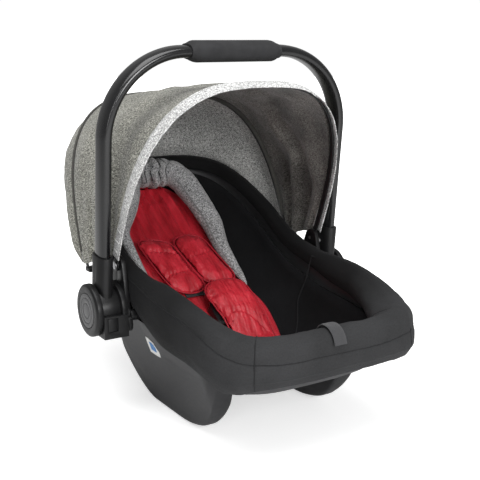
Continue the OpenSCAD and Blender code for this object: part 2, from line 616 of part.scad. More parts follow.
// ---- small fittings ----
module rear_belt_hook() {
    color(black_plastic) from_hub() translate([0, 225, bowl_z(0, 225, 0)]) rotate([40, 0, 0])
        difference() {
            translate([-45, -14, -29]) cube([90, 28, 25]);
            translate([-60, -6, -23]) cube([120, 30, 12]);
        }
}
module side_label() {
    z = 109;
    lean = atan((rocker_x(-39, 126, rocker_half_w) - rocker_x(-39, 97, rocker_half_w)) / 29);
    color([0.92, 0.92, 0.90]) from_hub() translate([-rocker_x(-39, z, rocker_half_w) - 2.6, -39, z])
        rotate([0, -lean, -3.5]) cube([0.5, 35, 29], center = true);
}

seat_shell();
rocker(-1);  // rocker_left
rocker(1);  // rocker_right
rocker_screws();
foam_liner();
seat_cover();
rim_cover();
newborn_insert();
head_hugger();
shoulder_pad(-1);  // shoulder_pad_left
shoulder_pad(1);  // shoulder_pad_right
crotch_pad();
shoulder_strap(-1);  // shoulder_strap_left
shoulder_strap(1);  // shoulder_strap_right
crotch_strap();
buckle_body();
buckle_button();
buckle_tongues();
splitter_plate();
adjuster_housing();
adjuster_lever();
adjuster_strap();
side_bracket(-1);  // side_bracket_left
side_bracket(1);  // side_bracket_right
bracket_screws();
hub_base(-1);  // hub_base_left
hub_base(1);  // hub_base_right
hub_pin(-1);  // hub_pin_left
hub_pin(1);  // hub_pin_right
adapter_button(-1);  // adapter_button_left
adapter_button(1);  // adapter_button_right
handle_tube();
grip();
socket(-1);  // socket_left
socket(1);  // socket_right
hub_cap(-1);  // hub_cap_left
hub_cap(1);  // hub_cap_right
handle_screws();
release_button(-1);  // release_button_left
release_button(1);  // release_button_right
lock_gear(-1);  // lock_gear_left
lock_gear(1);  // lock_gear_right
button_spring(-1);  // button_spring_left
button_spring(1);  // button_spring_right
canopy_front_bow();
canopy_front_hem();
canopy_top_panel();
canopy_back_panel();
canopy_rear_bow();
canopy_pivot_pins();
rear_bow_clips();
rear_belt_hook();
side_label();
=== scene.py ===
"""Looks of the infant car seat: every visible piece with its material, lights and camera."""
import json
import math

import bmesh
import bpy
import numpy as np
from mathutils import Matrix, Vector, noise


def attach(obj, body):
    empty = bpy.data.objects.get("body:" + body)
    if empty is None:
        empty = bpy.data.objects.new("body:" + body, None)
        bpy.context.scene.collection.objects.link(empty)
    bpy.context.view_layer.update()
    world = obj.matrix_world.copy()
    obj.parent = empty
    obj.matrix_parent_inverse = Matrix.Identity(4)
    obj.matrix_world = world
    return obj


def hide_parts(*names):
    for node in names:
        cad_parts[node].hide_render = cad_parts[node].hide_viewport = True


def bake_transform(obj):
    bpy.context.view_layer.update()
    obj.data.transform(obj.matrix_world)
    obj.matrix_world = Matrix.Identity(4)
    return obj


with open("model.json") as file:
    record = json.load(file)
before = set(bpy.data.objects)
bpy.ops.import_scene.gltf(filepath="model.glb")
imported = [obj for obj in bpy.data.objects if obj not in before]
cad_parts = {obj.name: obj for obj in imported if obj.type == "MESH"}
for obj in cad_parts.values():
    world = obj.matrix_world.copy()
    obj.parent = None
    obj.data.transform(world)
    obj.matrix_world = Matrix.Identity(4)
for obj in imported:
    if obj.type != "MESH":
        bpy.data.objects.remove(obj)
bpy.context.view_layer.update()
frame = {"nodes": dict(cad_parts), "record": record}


# ---- dimensions, mm, from the hub axis
HUB_Y = 10.0
HUB_Z = 171.0
HALF_W = 160.0
FOOT, HEAD = 302.0, 283.0
SHELL_T, FOAM_T, COVER_T, GAP = 3.0, 13.0, 6.0, 0.4
INSERT_T, PAD_T = 13.0, 14.0
RIM_LINE = [(-306, 176), (-280, 179), (-250, 185), (-220, 194), (-190, 201), (-155, 207), (-120, 211),
            (-60, 216), (-20, 222), (33, 236), (104, 276), (177, 312), (225, 332), (262, 342), (286, 346)]
FLOOR_LINE = [(-300, 62), (-240, 58), (-180, 54), (-120, 54), (-70, 60), (-30, 74), (0, 92), (60, 134),
              (120, 176), (200, 226), (250, 258), (286, 282)]
SKIRT_LINE = [(-302, 49), (-286, 54), (-266, 64), (-240, 70), (-200, 66), (-126, 68), (-86, 61), (-45, 48),
              (4, 34),
              (40, 24), (286, 20)]
GROUND_LINE = [(-196, 88), (-190, 66), (-182, 50), (-168, 32), (-145, 14), (-107, 3), (-75, 0), (10, 0),
               (40, 7), (70, 24), (92, 47), (106, 74), (112, 92)]
ROCKER_HALF_W, ROCKER_H, ROCKER_FOOT, ROCKER_HEAD = 118.0, 150.0, -196.0, 112.0
BOWL_N = 3.0
ARCH_N, REAR_N = 2.9, 3.2
FRONT_W, FRONT_H, FRONT_LEAN = 185.0, 288.0, math.radians(22.6)
REAR_W, REAR_H, REAR_LEAN = 195.0, 279.0, math.radians(22.0)
REAR_FOOT = (85.0, 215.0)
CANOPY_Y, CANOPY_Z = -3.0, 235.0
HANDLE_W, HANDLE_H, BEND_R = 207.0, 379.0, 124.0
HANDLE_LEAN = math.radians(5.8)


# ---- maths shared with the frame
def mix(a, b, t):
    return a + (b - a) * t


def ease(t):
    t = min(max(t, 0.0), 1.0)
    return t * t * (3 - 2 * t)


def root_curve(c, n):
    return math.copysign(abs(c) ** (2.0 / n), c)


def super_point(a, b, n, t):
    return a * root_curve(math.cos(t), n), b * root_curve(math.sin(t), n)


def curve(points, x):
    last = len(points) - 1

    def slope(i):
        lo, hi = max(i - 1, 0), min(i + 1, last)
        return (points[hi][1] - points[lo][1]) / (points[hi][0] - points[lo][0])
    i = 0
    while i < last - 1 and x >= points[i + 1][0]:
        i += 1
    w = points[i + 1][0] - points[i][0]
    t = min(max((x - points[i][0]) / w, 0.0), 1.0)
    return (points[i][1] * (1 + 2 * t) * (1 - t) ** 2 + points[i + 1][1] * t * t * (3 - 2 * t)
            + slope(i) * w * t * (1 - t) ** 2 - slope(i + 1) * w * t * t * (1 - t))


def rim_z(y):
    return curve(RIM_LINE, y)


def floor_z(y):
    return curve(FLOOR_LINE, y)


def floor_slope(y):
    return (floor_z(y + 2) - floor_z(y - 2)) / 4


def reach(y, d):
    return (FOOT if y < 0 else HEAD) - d


def rim_n(y):
    return 4.2 if y < 0 else 3.8


def rim_point(t, out):
    s = math.sin(t)
    n = rim_n(s)
    return ((HALF_W + out) * root_curve(math.cos(t), n), reach(s, -out) * root_curve(s, n))


def nearness(x, y, d):
    n = rim_n(y)
    return min(((abs(x) / (HALF_W - d)) ** n + (abs(y) / reach(y, d)) ** n) ** (1 / n), 1.0)


def bowl_z(x, y, d):
    s = nearness(x, y, d)
    rise = 1 - (1 - s ** BOWL_N) ** (1 / BOWL_N)
    return mix(floor_z(y) + d * math.sqrt(1 + floor_slope(y) ** 2), rim_z(y), rise)


def bowl_half(y, z):
    n = rim_n(y)
    f = min(max((rim_z(y) - z) / (rim_z(y) - floor_z(y)), 0.0), 1.0)
    s = (1 - f ** BOWL_N) ** (1 / BOWL_N)
    return HALF_W * max(s ** n - (abs(y) / reach(y, 0)) ** n, 0.0) ** (1 / n)


def foam_depth(y):
    return mix(4.0, FOAM_T, ease((y + 76) / 60))


def cover_depth(y):
    return SHELL_T + foam_depth(y) + 3 * GAP + COVER_T


def seat_z(x, y):
    return bowl_z(x, y, cover_depth(y))


def seat_slope(y):
    return math.atan((seat_z(0, y + 3) - seat_z(0, y - 3)) / 6)


def front_point(t, out):
    p = super_point(FRONT_W + out, FRONT_H + out, ARCH_N, t)
    return vec(p[0], CANOPY_Y - p[1] * math.sin(FRONT_LEAN), CANOPY_Z + p[1] * math.cos(FRONT_LEAN))


def rear_point(t, out):
    p = super_point(REAR_W + out, REAR_H + out, REAR_N, t)
    return vec(p[0], REAR_FOOT[0] + p[1] * math.sin(REAR_LEAN),
                     REAR_FOOT[1] + p[1] * math.cos(REAR_LEAN))


def fbm(x, y, z):
    return noise.fractal(Vector((x, y, z)), 1.0, 2.0, 3)


def bell(x, width):
    return math.exp(-(x / width) ** 2)


def crowd(i, count):
    """Share i / count of the way, with its steps crowded at both ends."""
    return 0.5 - 0.5 * math.cos(math.pi * i / count)


def vec(*values):
    return np.array(values)


def unit(v, least=0.0):
    return v / (np.linalg.norm(v) + least)


# ---- mesh helpers
def to_metres(points):
    p = np.asarray(points, float).reshape(-1, 3) * 0.001
    p[:, 1] += HUB_Y * 0.001
    return p


def add(name, data):
    o = bpy.data.objects.new(name, data)
    bpy.context.scene.collection.objects.link(o)
    return o


def new_object(name, verts, faces, uvs=None, smooth=True):
    """Object from points in mm round the hub axis; uvs is one (u, v) for each face corner, in metres."""
    me = bpy.data.meshes.new(name)
    me.from_pydata(to_metres(verts).tolist(), [], faces)
    if uvs is not None:
        layer = me.uv_layers.new(name="cloth")
        layer.data.foreach_set("uv", np.asarray(uvs, np.float32).ravel())
    me.polygons.foreach_set("use_smooth", [smooth] * len(me.polygons))
    me.update()
    o = add(name, me)
    return o


def grid(name, points, wrap_u=False, wrap_v=False, caps=False, uv_turn=False):
    """Quad grid through points[i][j]; uv is the distance along each direction in metres."""
    p = np.asarray(points, float)
    nu, nv = p.shape[:2]
    q = p
    if wrap_u:
        q = np.concatenate([q, q[:1]], 0)
    if wrap_v:
        q = np.concatenate([q, q[:, :1]], 1)
    du = np.linalg.norm(np.diff(q, axis=0), axis=2).mean(1)
    dv = np.linalg.norm(np.diff(q, axis=1), axis=2)
    u = np.concatenate([[0], np.cumsum(du)]) * 0.001
    v = np.concatenate([np.zeros((q.shape[0], 1)), np.cumsum(dv, 1)], 1) * 0.001
    v = v - v[:, -1:] / 2
    faces, uvs = [], []
    for i in range(q.shape[0] - 1):
        for j in range(q.shape[1] - 1):
            a, b = i % nu, (i + 1) % nu
            c, d = j % nv, (j + 1) % nv
            faces.append((a * nv + c, b * nv + c, b * nv + d, a * nv + d))
            for ii, jj in ((i, j), (i + 1, j), (i + 1, j + 1), (i, j + 1)):
                uvs.append((v[ii, jj], u[ii]) if uv_turn else (u[ii], v[ii, jj]))
    if caps:
        faces.append(tuple(range(nv)))
        faces.append(tuple((nu - 1) * nv + k for k in reversed(range(nv))))
        uvs += [(0, 0)] * (2 * nv)
    return new_object(name, p.reshape(-1, 3), faces, uvs)


def fix_normals(o):
    bm = bmesh.new()
    bm.from_mesh(o.data)
    bmesh.ops.recalc_face_normals(bm, faces=bm.faces)
    bm.to_mesh(o.data)
    bm.free()
    return o


def skin(name, points, **how):
    return fix_normals(grid(name, points, **how))


def sharpen(o, degrees):
    o.data.set_sharp_from_angle(angle=math.radians(degrees))


def apply_modifiers(o):
    deps = bpy.context.evaluated_depsgraph_get()
    me = bpy.data.meshes.new_from_object(o.evaluated_get(deps))
    o.modifiers.clear()
    o.data = me
    return o


def place(o, body, material, nodes=()):
    o.data.materials.clear()
    o.data.materials.append(material)
    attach(o, body)
    if nodes:
        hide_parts(*nodes)
    return o


def solidify(o, thickness, offset=-1.0):
    m = o.modifiers.new("thickness", "SOLIDIFY")
    m.thickness = thickness * 0.001
    m.offset = offset
    m.use_even_offset = True
    return o


def subdivide(o):
    m = o.modifiers.new("smooth", "SUBSURF")
    m.levels = m.render_levels = 1
    m.boundary_smooth = "PRESERVE_CORNERS"
    return o


# ---- materials
class Graph:
    """A material's node tree, written as short calls."""

    def __init__(self, name, **sockets):
        self.material = bpy.data.materials.new(name)
        self.material.use_nodes = True
        self.tree = self.material.node_tree
        self.shader = self.tree.nodes["Principled BSDF"]
        for key, value in sockets.items():
            self.shader.inputs[key.replace("_", " ")].default_value = value

    def node(self, kind, **values):
        n = self.tree.nodes.new("ShaderNode" + kind)
        for key, value in values.items():
            if hasattr(n, key):
                setattr(n, key, value)
            else:
                n.inputs[key.replace("_", " ")].default_value = value
        return n

    def link(self, a, b):
        self.tree.links.new(a, b)

    def coords(self, scale, uv=False):
        """Coordinates in metres times a scale, one number or one for each axis."""
        if uv:
            source = self.node("UVMap", uv_map="cloth").outputs[0]
        else:
            source = self.node("TexCoord").outputs["Object"]
        m = self.node("Mapping")
        m.inputs["Scale"].default_value = scale if isinstance(scale, tuple) else (scale,) * 3
        self.link(source, m.inputs["Vector"])
        return m.outputs[0]

    def noise(self, scale, uv=False, detail=2.0, rough=0.5):
        n = self.node("TexNoise", Scale=1.0, Detail=detail, Roughness=rough)
        self.link(self.coords(scale, uv), n.inputs["Vector"])
        return n.outputs["Fac"]

    def math(self, op, a, b=None, clamp=False):
        n = self.node("Math", operation=op, use_clamp=clamp)
        for k, v in enumerate((a, b)):
            if v is None:
                continue
            if isinstance(v, (int, float)):
                n.inputs[k].default_value = v
            else:
                self.link(v, n.inputs[k])
        return n.outputs[0]

    def times(self, a, b, clamp=False):
        return self.math("MULTIPLY", a, b, clamp)

    def plus(self, a, b):
        return self.math("ADD", a, b)

    def ramp(self, fac, stops):
        n = self.node("ValToRGB")
        e = n.color_ramp.elements
        while len(e) < len(stops):
            e.new(0.5)
        for k, (pos, col) in enumerate(stops):
            e[k].position = pos
            e[k].color = (*col, 1)
        self.link(fac, n.inputs[0])
        return n.outputs[0]

    def blend(self, fac, a, b, mode="MIX"):
        n = self.node("Mix", data_type="RGBA", blend_type=mode)
        for k, v in ((0, fac), (6, a), (7, b)):
            if isinstance(v, (int, float)):
                n.inputs[k].default_value = v
            elif isinstance(v, tuple):
                n.inputs[k].default_value = (*v, 1)
            else:
                self.link(v, n.inputs[k])
        return n.outputs[2]

    def bump(self, height, strength, distance, under=None):
        n = self.node("Bump", Strength=strength, Distance=distance)
        self.link(height, n.inputs["Height"])
        if under is not None:
            self.link(under, n.inputs["Normal"])
        return n.outputs[0]

    def out(self, color=None, rough=None, normal=None):
        if color is not None:
            self.link(color, self.shader.inputs["Base Color"])
        if rough is not None:
            self.link(rough, self.shader.inputs["Roughness"])
        if normal is not None:
            self.link(normal, self.shader.inputs["Normal"])
        return self.material


def weave(g, uv, thread):
    """Height of a plain weave whose threads are that many metres apart."""
    k = 2 * math.pi / thread
    sep = g.node("SeparateXYZ")
    g.link(g.coords(k, uv), sep.inputs[0])
    a = g.math("SINE", sep.outputs[0])
    b = g.math("SINE", sep.outputs[1])
    if uv:
        return g.times(a, b)
    c = g.math("SINE", sep.outputs[2])
    return g.plus(g.times(a, b), g.times(c, g.plus(a, b)))


def melange(name, dark, mid, light, contrast=1.0, painted_folds=0.1):
    """Two-tone knit: short light and dark yarn dashes along both thread directions."""
    g = Graph(name, Roughness=0.92, Sheen_Weight=0.25, Sheen_Roughness=0.5, Specular_IOR_Level=0.2)
    along = g.noise((190, 760, 500), True, detail=2.0, rough=0.6)
    across = g.noise((760, 190, 380), True, detail=2.0, rough=0.6)
    check = g.noise(150, True, detail=1.0)
    pick = g.math("GREATER_THAN", check, 0.5)
    dashes = g.blend(pick, along, across)
    wide = 0.5 * contrast
    tone = g.ramp(dashes, [(0.5 - 0.22 * wide, dark), (0.5, mid), (0.5 + 0.22 * wide, light)])
    # Partly random tone drift, partly painted fold shade: a large noise darkens and lightens the colour by
    # the given share and bumps the cloth as soft wrinkles.
    drift = g.noise(14, detail=3.0)
    shade = g.ramp(drift, [(0.36, (1 - painted_folds,) * 3), (0.64, (1 + painted_folds,) * 3)])
    color = g.blend(1.0, tone, shade, "MULTIPLY")
    fine = weave(g, True, 0.0016)
    normal = g.bump(fine, 0.35, 0.0004, g.bump(dashes, 0.5, 0.0006))
    normal = g.bump(drift, min(1.0, painted_folds * 3), 0.02 * painted_folds, normal)
    return g.out(color, None, normal)


def plain_fabric(name, color, lift, thread, rough, sheen, bump=0.4, spec=0.3, painted_folds=0.0):
    """Plain dyed cloth with its thread pattern, slight shade drift and nap."""
    g = Graph(name, Roughness=rough, Sheen_Weight=sheen, Sheen_Roughness=0.45, Specular_IOR_Level=spec)
    fine = weave(g, False, thread)
    slub = g.noise(420, detail=3.0, rough=0.6)
    drift = g.noise(18, detail=3.0)
    both = g.plus(g.times(slub, 0.55), g.times(drift, 0.45))
    tone = g.ramp(both, [(0.34, color), (0.66, lift)])
    g.shader.inputs["Sheen Tint"].default_value = (*[min(1.0, c * 6 + 0.1) for c in lift], 1)
    normal = g.bump(fine, bump, 0.0003, g.bump(slub, 0.25, 0.0004))
    # Painted crease shade and highlight: a stretched noise darkens the colour to about 0.7 in the creases and
    # lifts it up to 1.6 times, towards pink-white, on the lobes, with a matching bump.
    if painted_folds:
        crease = g.noise((62, 17, 17), detail=2.5, rough=0.55)
        shade = g.ramp(crease, [(0.34, (0.78, 0.7, 0.72)), (0.5, (1.05, 1.05, 1.05)),
                                (0.68, (1.3, 1.6, 1.6))])
        tone = g.blend(1.0, tone, shade, "MULTIPLY")
        normal = g.bump(crease, painted_folds, 0.006, normal)
    return g.out(tone, None, normal)


def plastic(name, color, lift, rough=0.45, grain=0.3, size=2600.0, spec=0.5, coat=0.0):
    """Moulded plastic with spark-eroded grain, faint scuffs and slight shade change."""
    g = Graph(name, Specular_IOR_Level=spec, Coat_Weight=coat, Coat_Roughness=0.25)
    pit = g.noise(size, detail=2.0)
    cloud = g.noise(22, detail=4.0, rough=0.6)
    scuff = g.noise((90, 90, 480), detail=5.0, rough=0.7)
    tone = g.ramp(cloud, [(0.3, color), (0.7, lift)])
    r = g.plus(g.times(scuff, 0.16), rough - 0.08)
    r = g.plus(r, g.times(cloud, 0.06))
    return g.out(tone, r, g.bump(pit, grain, 0.00012))


def steel_finish(name):
    g = Graph(name, Metallic=1.0)
    streak = g.noise((60, 900, 900), detail=3.0)
    cloud = g.noise(70, detail=3.0)
    tone = g.ramp(cloud, [(0.3, (0.42, 0.42, 0.43)), (0.7, (0.66, 0.66, 0.68))])
    return g.out(tone, g.plus(g.times(streak, 0.3), 0.18), g.bump(streak, 0.15, 0.0001))


def foam_finish(name, color, lift, size=1400.0, bump=0.6):
    """Closed-cell foam: small cells that show as pits."""
    g = Graph(name, Roughness=0.85, Specular_IOR_Level=0.35)
    v = g.node("TexVoronoi", Scale=1.0)
    g.link(g.coords(size), v.inputs["Vector"])
    cloud = g.noise(40, detail=3.0)
    tone = g.ramp(cloud, [(0.3, color), (0.7, lift)])
    return g.out(tone, None, g.bump(v.outputs["Distance"], bump, 0.0003))


def webbing_finish(name, color, lift):
    """Polyester webbing: ribs across, twill along."""
    g = Graph(name, Roughness=0.7, Sheen_Weight=0.2, Specular_IOR_Level=0.3)
    rib = g.node("TexWave", Scale=1.0, Distortion=1.5, Detail=1.0)
    g.link(g.coords(260, True), rib.inputs["Vector"])
    fine = weave(g, True, 0.0018)
    tone = g.ramp(rib.outputs["Fac"], [(0.2, color), (0.8, lift)])
    return g.out(tone, None, g.bump(rib.outputs["Fac"], 0.3, 0.0005, g.bump(fine, 0.4, 0.0004)))


def rim_cloth_painted_shade(name):
    """Charcoal cloth of the rim roll with painted shade: much darker from ahead of the hubs round the head,
    lighter only at the foot end.
    """
    g = Graph(name, Roughness=0.85, Sheen_Weight=0.07, Sheen_Roughness=0.45, Specular_IOR_Level=0.22)
    fine = weave(g, True, 0.0013)
    slub = g.noise(420, True, detail=3.0, rough=0.6)
    drift = g.noise(16, detail=3.0)
    both = g.plus(g.times(slub, 0.5), g.times(drift, 0.5))
    # Painted shade: a y mask (below) blends from this lit tone at the foot end to the near-black second ramp,
    # which runs from ahead of the hubs round the head.
    front = g.ramp(both, [(0.34, (0.019, 0.0192, 0.02)), (0.66, (0.033, 0.0333, 0.035))])
    back = g.ramp(both, [(0.34, (0.0035, 0.0035, 0.0038)), (0.66, (0.0062, 0.0062, 0.0066))])
    sep = g.node("SeparateXYZ")
    g.link(g.coords(1), sep.inputs[0])
    way = g.times(g.plus(sep.outputs[1], 0.26), 9.0, True)
    g.shader.inputs["Sheen Tint"].default_value = (0.3, 0.3, 0.31, 1)
    return g.out(g.blend(way, front, back), None, g.bump(fine, 0.35, 0.0003, g.bump(slub, 0.25, 0.0004)))


MAT = {
    "melange": melange("melange_canopy", (0.045, 0.044, 0.036), (0.19, 0.187, 0.16), (0.46, 0.455, 0.4)),
    "light": melange("melange_light", (0.085, 0.085, 0.088), (0.29, 0.29, 0.292), (0.60, 0.60, 0.60)),
    "hem": melange("melange_hem", (0.2, 0.2, 0.2), (0.5, 0.5, 0.495), (0.82, 0.82, 0.81)),
    # Lining of the top panel: a darker copy of the canopy melange with painted shade, and strong painted fold
    # shade.
    "lining": melange("canopy_lining", (0.055, 0.052, 0.046), (0.115, 0.108, 0.099), (0.21, 0.2, 0.185),
        0.8, 0.36),
    # Red satin with strong painted crease shade and highlight.
    "red": plain_fabric("red_satin", (0.40, 0.014, 0.024), (0.56, 0.022, 0.036), 0.0011, 0.36, 0.06, 0.25,
        0.4, 0.8),
    "black": plain_fabric("black_knit", (0.0055, 0.0055, 0.006), (0.0095, 0.0095, 0.0105), 0.0016, 0.95,
        0.08, 0.4, 0.15),
    "rim": rim_cloth_painted_shade("charcoal_cloth_painted_shade"),
    "shell": plastic("grey_plastic", (0.034, 0.034, 0.036), (0.046, 0.046, 0.049), 0.5, 0.35),
    "hard": plastic("black_plastic", (0.005, 0.005, 0.0054), (0.009, 0.009, 0.0094), 0.34, 0.25, 2600.0, 0.3),
    "tube": plastic("tube_coating", (0.004, 0.004, 0.0045), (0.0065, 0.0065, 0.007), 0.15, 0.1, 1500.0,
        0.42, 0.35),
    "grip": foam_finish("grip_foam", (0.017, 0.017, 0.018), (0.030, 0.030, 0.032)),
    "button": plastic("button_grey", (0.055, 0.055, 0.057), (0.08, 0.08, 0.082), 0.38, 0.15),
    "foam": foam_finish("white_foam", (0.68, 0.68, 0.66), (0.82, 0.82, 0.80), 500.0, 0.5),
    "steel": steel_finish("zinc_plate"),
    "red_button": plastic("red_button_plastic", (0.40, 0.01, 0.015), (0.52, 0.02, 0.025), 0.25, 0.1, 1800.0,
        0.5, 0.4),
    "webbing": webbing_finish("webbing", (0.022, 0.022, 0.024), (0.05, 0.05, 0.053)),
    "rocker": plastic("rocker_plastic", (0.021, 0.021, 0.0225), (0.031, 0.031, 0.033), 0.46, 0.35, 2600.0,
        0.4),
    "label": plastic("white_label", (0.72, 0.72, 0.70), (0.80, 0.80, 0.78), 0.4, 0.05),
    "label_mark": plastic("label_blue", (0.03, 0.16, 0.42), (0.04, 0.20, 0.50), 0.4, 0.05),
    "hugger_seam": plain_fabric("hugger_seam", (0.20, 0.20, 0.205), (0.30, 0.30, 0.305), 0.0009, 0.9, 0.2),
    "hem_thread": plain_fabric("hem_thread", (0.30, 0.30, 0.295), (0.42, 0.42, 0.41), 0.0006, 0.85, 0.2, 0.3),
    # Inside of the back panel: a much lighter copy of the canopy melange, with painted light.
    "back_lining": melange("back_lining", (0.14, 0.14, 0.137), (0.40, 0.40, 0.385), (0.72, 0.72, 0.70)),
    "thread": plain_fabric("white_thread", (0.55, 0.55, 0.54), (0.75, 0.75, 0.73), 0.0006, 0.8, 0.2, 0.3),
    "seam": plain_fabric("dark_seam", (0.010, 0.010, 0.011), (0.018, 0.018, 0.019), 0.0009, 0.9, 0.1, 0.4),
    "piping": plain_fabric("canopy_piping", (0.045, 0.044, 0.040), (0.09, 0.088, 0.08), 0.0009, 0.9, 0.2,
        0.4),
    "red_piping": plain_fabric("red_piping", (0.36, 0.009, 0.02), (0.50, 0.015, 0.03), 0.0009, 0.45, 0.15,
        0.3, 0.4),
}

RECORD = frame["record"]
BODY_OF = {n: b for b, ns in RECORD["behaviour"]["bodies"].items() for n in ns}


# ---- helpers for soft pieces
def spline(points, per=6):
    """Smooth chain through the points."""
    p = [np.array(q, float) for q in points]
    out = []
    for i in range(len(p) - 1):
        a, b, c, d = p[max(i - 1, 0)], p[i], p[i + 1], p[min(i + 2, len(p) - 1)]
        for k in range(per):
            t = k / per
            out.append(0.5 * (2 * b + (c - a) * t + (2 * a - 5 * b + 4 * c - d) * t * t
                              + (3 * b - a - 3 * c + d) * t ** 3))
    out.append(p[-1])
    return out


def tube(name, path, r, closed=False, sides=8, flat=1.0):
    """Round cord, piping or seam along a path."""
    p = np.asarray(path, float)
    n = len(p)
    loops = []
    up = None
    for i in range(n):
        d = (p[(i + 1) % n] - p[i - 1]) if closed else p[min(i + 1, n - 1)] - p[max(i - 1, 0)]
        d = unit(d, 1e-9)
        if up is None:
            up = np.cross(d, (0.3, 0.2, 0.93))
        up = up - d * np.dot(up, d)
        up = unit(up, 1e-9)
        side = np.cross(d, up)
        loops.append([p[i] + r * (math.cos(a) * up + flat * math.sin(a) * side)
                      for a in [2 * math.pi * k / sides for k in range(sides)]])
    return skin(name, loops, wrap_u=closed, wrap_v=True, caps=not closed)


def detail(o, parent_node, material):
    """A seam, stitch or piping that goes with a named piece."""
    return place(o, BODY_OF[parent_node], MAT[material])


def piece(o, node, material):
    return place(o, BODY_OF[node], MAT[material], (node,))


PUFF_FRAMES = 18


def puff(items):
    """Swells each (object, cap mm, pressure, voxel mm) as an inflated cloth, no further than its cap."""
    start = {}
    for o, cap, pressure, voxel in items:
        m = o.modifiers.new("voxels", "REMESH")
        m.mode = "VOXEL"
        m.voxel_size = voxel * 0.001
        apply_modifiers(o)
        start[o.name] = np.array([v.co for v in o.data.vertices], float)
        c = o.modifiers.new("cloth", "CLOTH")
        c.settings.use_pressure = True
        c.settings.uniform_pressure_force = pressure
        c.settings.effector_weights.gravity = 0
        c.settings.quality = 6
        c.settings.tension_stiffness = 18
        c.settings.compression_stiffness = 18
        c.settings.bending_stiffness = 0.4
        c.point_cache.frame_start, c.point_cache.frame_end = 1, PUFF_FRAMES
    for f in range(1, PUFF_FRAMES + 1):
        bpy.context.scene.frame_set(f)
    for o, cap, pressure, voxel in items:
        apply_modifiers(o)
        now = np.array([v.co for v in o.data.vertices], float)
        move = now - start[o.name]
        far = np.linalg.norm(move, axis=1, keepdims=True)
        move *= np.minimum(1, cap * 0.001 / np.maximum(far, 1e-9))
        o.data.vertices.foreach_set("co", (start[o.name] + move).ravel())
        s = subdivide(o)
        s.modifiers[-1].boundary_smooth = "ALL"
        apply_modifiers(o)
        o.data.polygons.foreach_set("use_smooth", [True] * len(o.data.polygons))
    bpy.context.scene.frame_set(1)


def reshape(o, move):
    """Moves every vertex, in mm round the hub axis, by a function of its place."""
    for v in o.data.vertices:
        p = np.array(v.co) * 1000
        p[1] -= HUB_Y
        q = move(p)
        v.co = (q[0] / 1000, (q[1] + HUB_Y) / 1000, q[2] / 1000)
    o.data.update()


ASKEW = 13.0


def sway(y):
    """The loose insert and what lies on it sit a little askew in the seat."""
    return -ASKEW * ease((y - 5) / 105) + ASKEW * ease((-5 - y) / 70)


def on_seat(x, y, h):
    """Point h mm above the seat's surface, measured square to it along the middle."""
    x = x + sway(y)
    return vec(x, y, seat_z(x, y) + h / math.cos(seat_slope(y)))


# ---- seat cover and its seams
def seat_layer(s, t, depth):
    r = rim_point(t, 0)
    d = depth(r[1] * s)
    q = rim_point(t, -d)
    return vec(q[0] * s, q[1] * s, bowl_z(q[0] * s, q[1] * s, d))


def cover_points():
    turns = [2 * math.pi * j / 128 for j in range(128)]
    steps = [0.02, 0.12, 0.24, 0.36, 0.46, 0.55, 0.63, 0.7, 0.76, 0.82, 0.87, 0.91, 0.945, 0.97, 0.99]
    back = [[seat_layer(s, t, lambda y: cover_depth(y) - COVER_T + 0.3) for t in turns] for s in steps]
    front = []
    for s in reversed(steps):
        loop = []
        for t in turns:
            p = seat_layer(s, t, cover_depth)
            w = (1 - s) * ease(s * 3)
            p[2] += 2.2 * w * fbm(p[0] * 0.016, p[1] * 0.016, 1.3) + 1.2 * w * fbm(p[0] * 0.05, p[1] * 0.03,
                                                                                   4.0)
            loop.append(p)
        front.append(loop)
    return back + front


cover = skin("seat_cover_look", cover_points(), wrap_v=True, caps=True)
piece(cover, "seat_cover", "black")
for k, side in enumerate((-1, 1)):
    path = []
    for x, y, _ in spline([(149, -66, 0), (144, -57, 0), (141, -47, 0), (135, -40, 0), (128, -39, 0),
                           (122, -46, 0),
                           (110, -62, 0), (92, -76, 0), (70, -84, 0), (46, -87, 0), (22, -88, 0)]):
        path.append(vec(side * x, y, seat_z(x, y) + 0.6))
    detail(tube(f"leg_panel_seam_{k}", path, 1.0, sides=6), "seat_cover", "seam")


# ---- rim roll
ROLL_SEAM_ROW = 20


def fullness(y):
    return 1 - ease((y + 130) / 100)


def rim_seam_drop(y):
    return mix(8.0, 19.0, ease((-y - 170) / 130)) * fullness(y) + 5 * (1 - fullness(y))


def roll_profile(t):
    y0 = rim_point(t, 0)[1]
    k, s = fullness(y0), curve(SKIRT_LINE, y0)
    corner = k * bell(abs(math.degrees(t) % 360 - 270) - 44, 19)
    up, w = mix(7, 13, k) - 3 * corner, mix(2.6, 9, k) + 8 * corner
    drop = rim_seam_drop(y0)
    inner = mix(16, 26, k)
    lean = 5 * corner
    outer = spline([
        (8, -s), (10 + w * 0.4, -s - 1), (11 + w * 0.94, -s * 0.8), (11.6 + w * 1.06, -(s + drop) * 0.52),
        (11 + w * 0.98, -drop), (10.5 + w * 0.72, up * 0.1), (6 + w * 0.36 + lean, up * 0.72),
        (lean, up * 1.02), (-8.6 + lean * 0.6, up * 0.84), (-13 - w * 0.6, 0), (-14 - w * 0.85, -12),
        (-14 - w * 0.6, -inner)], 5)
    under = [np.array(q, float) for q in [(-12, -inner), (-12.5, -12), (-9, -1), (-2, 2), (9.6, 1.6),
                                          (10.6, -10),
                                          (10, -s * 0.7)]]
    return outer, under


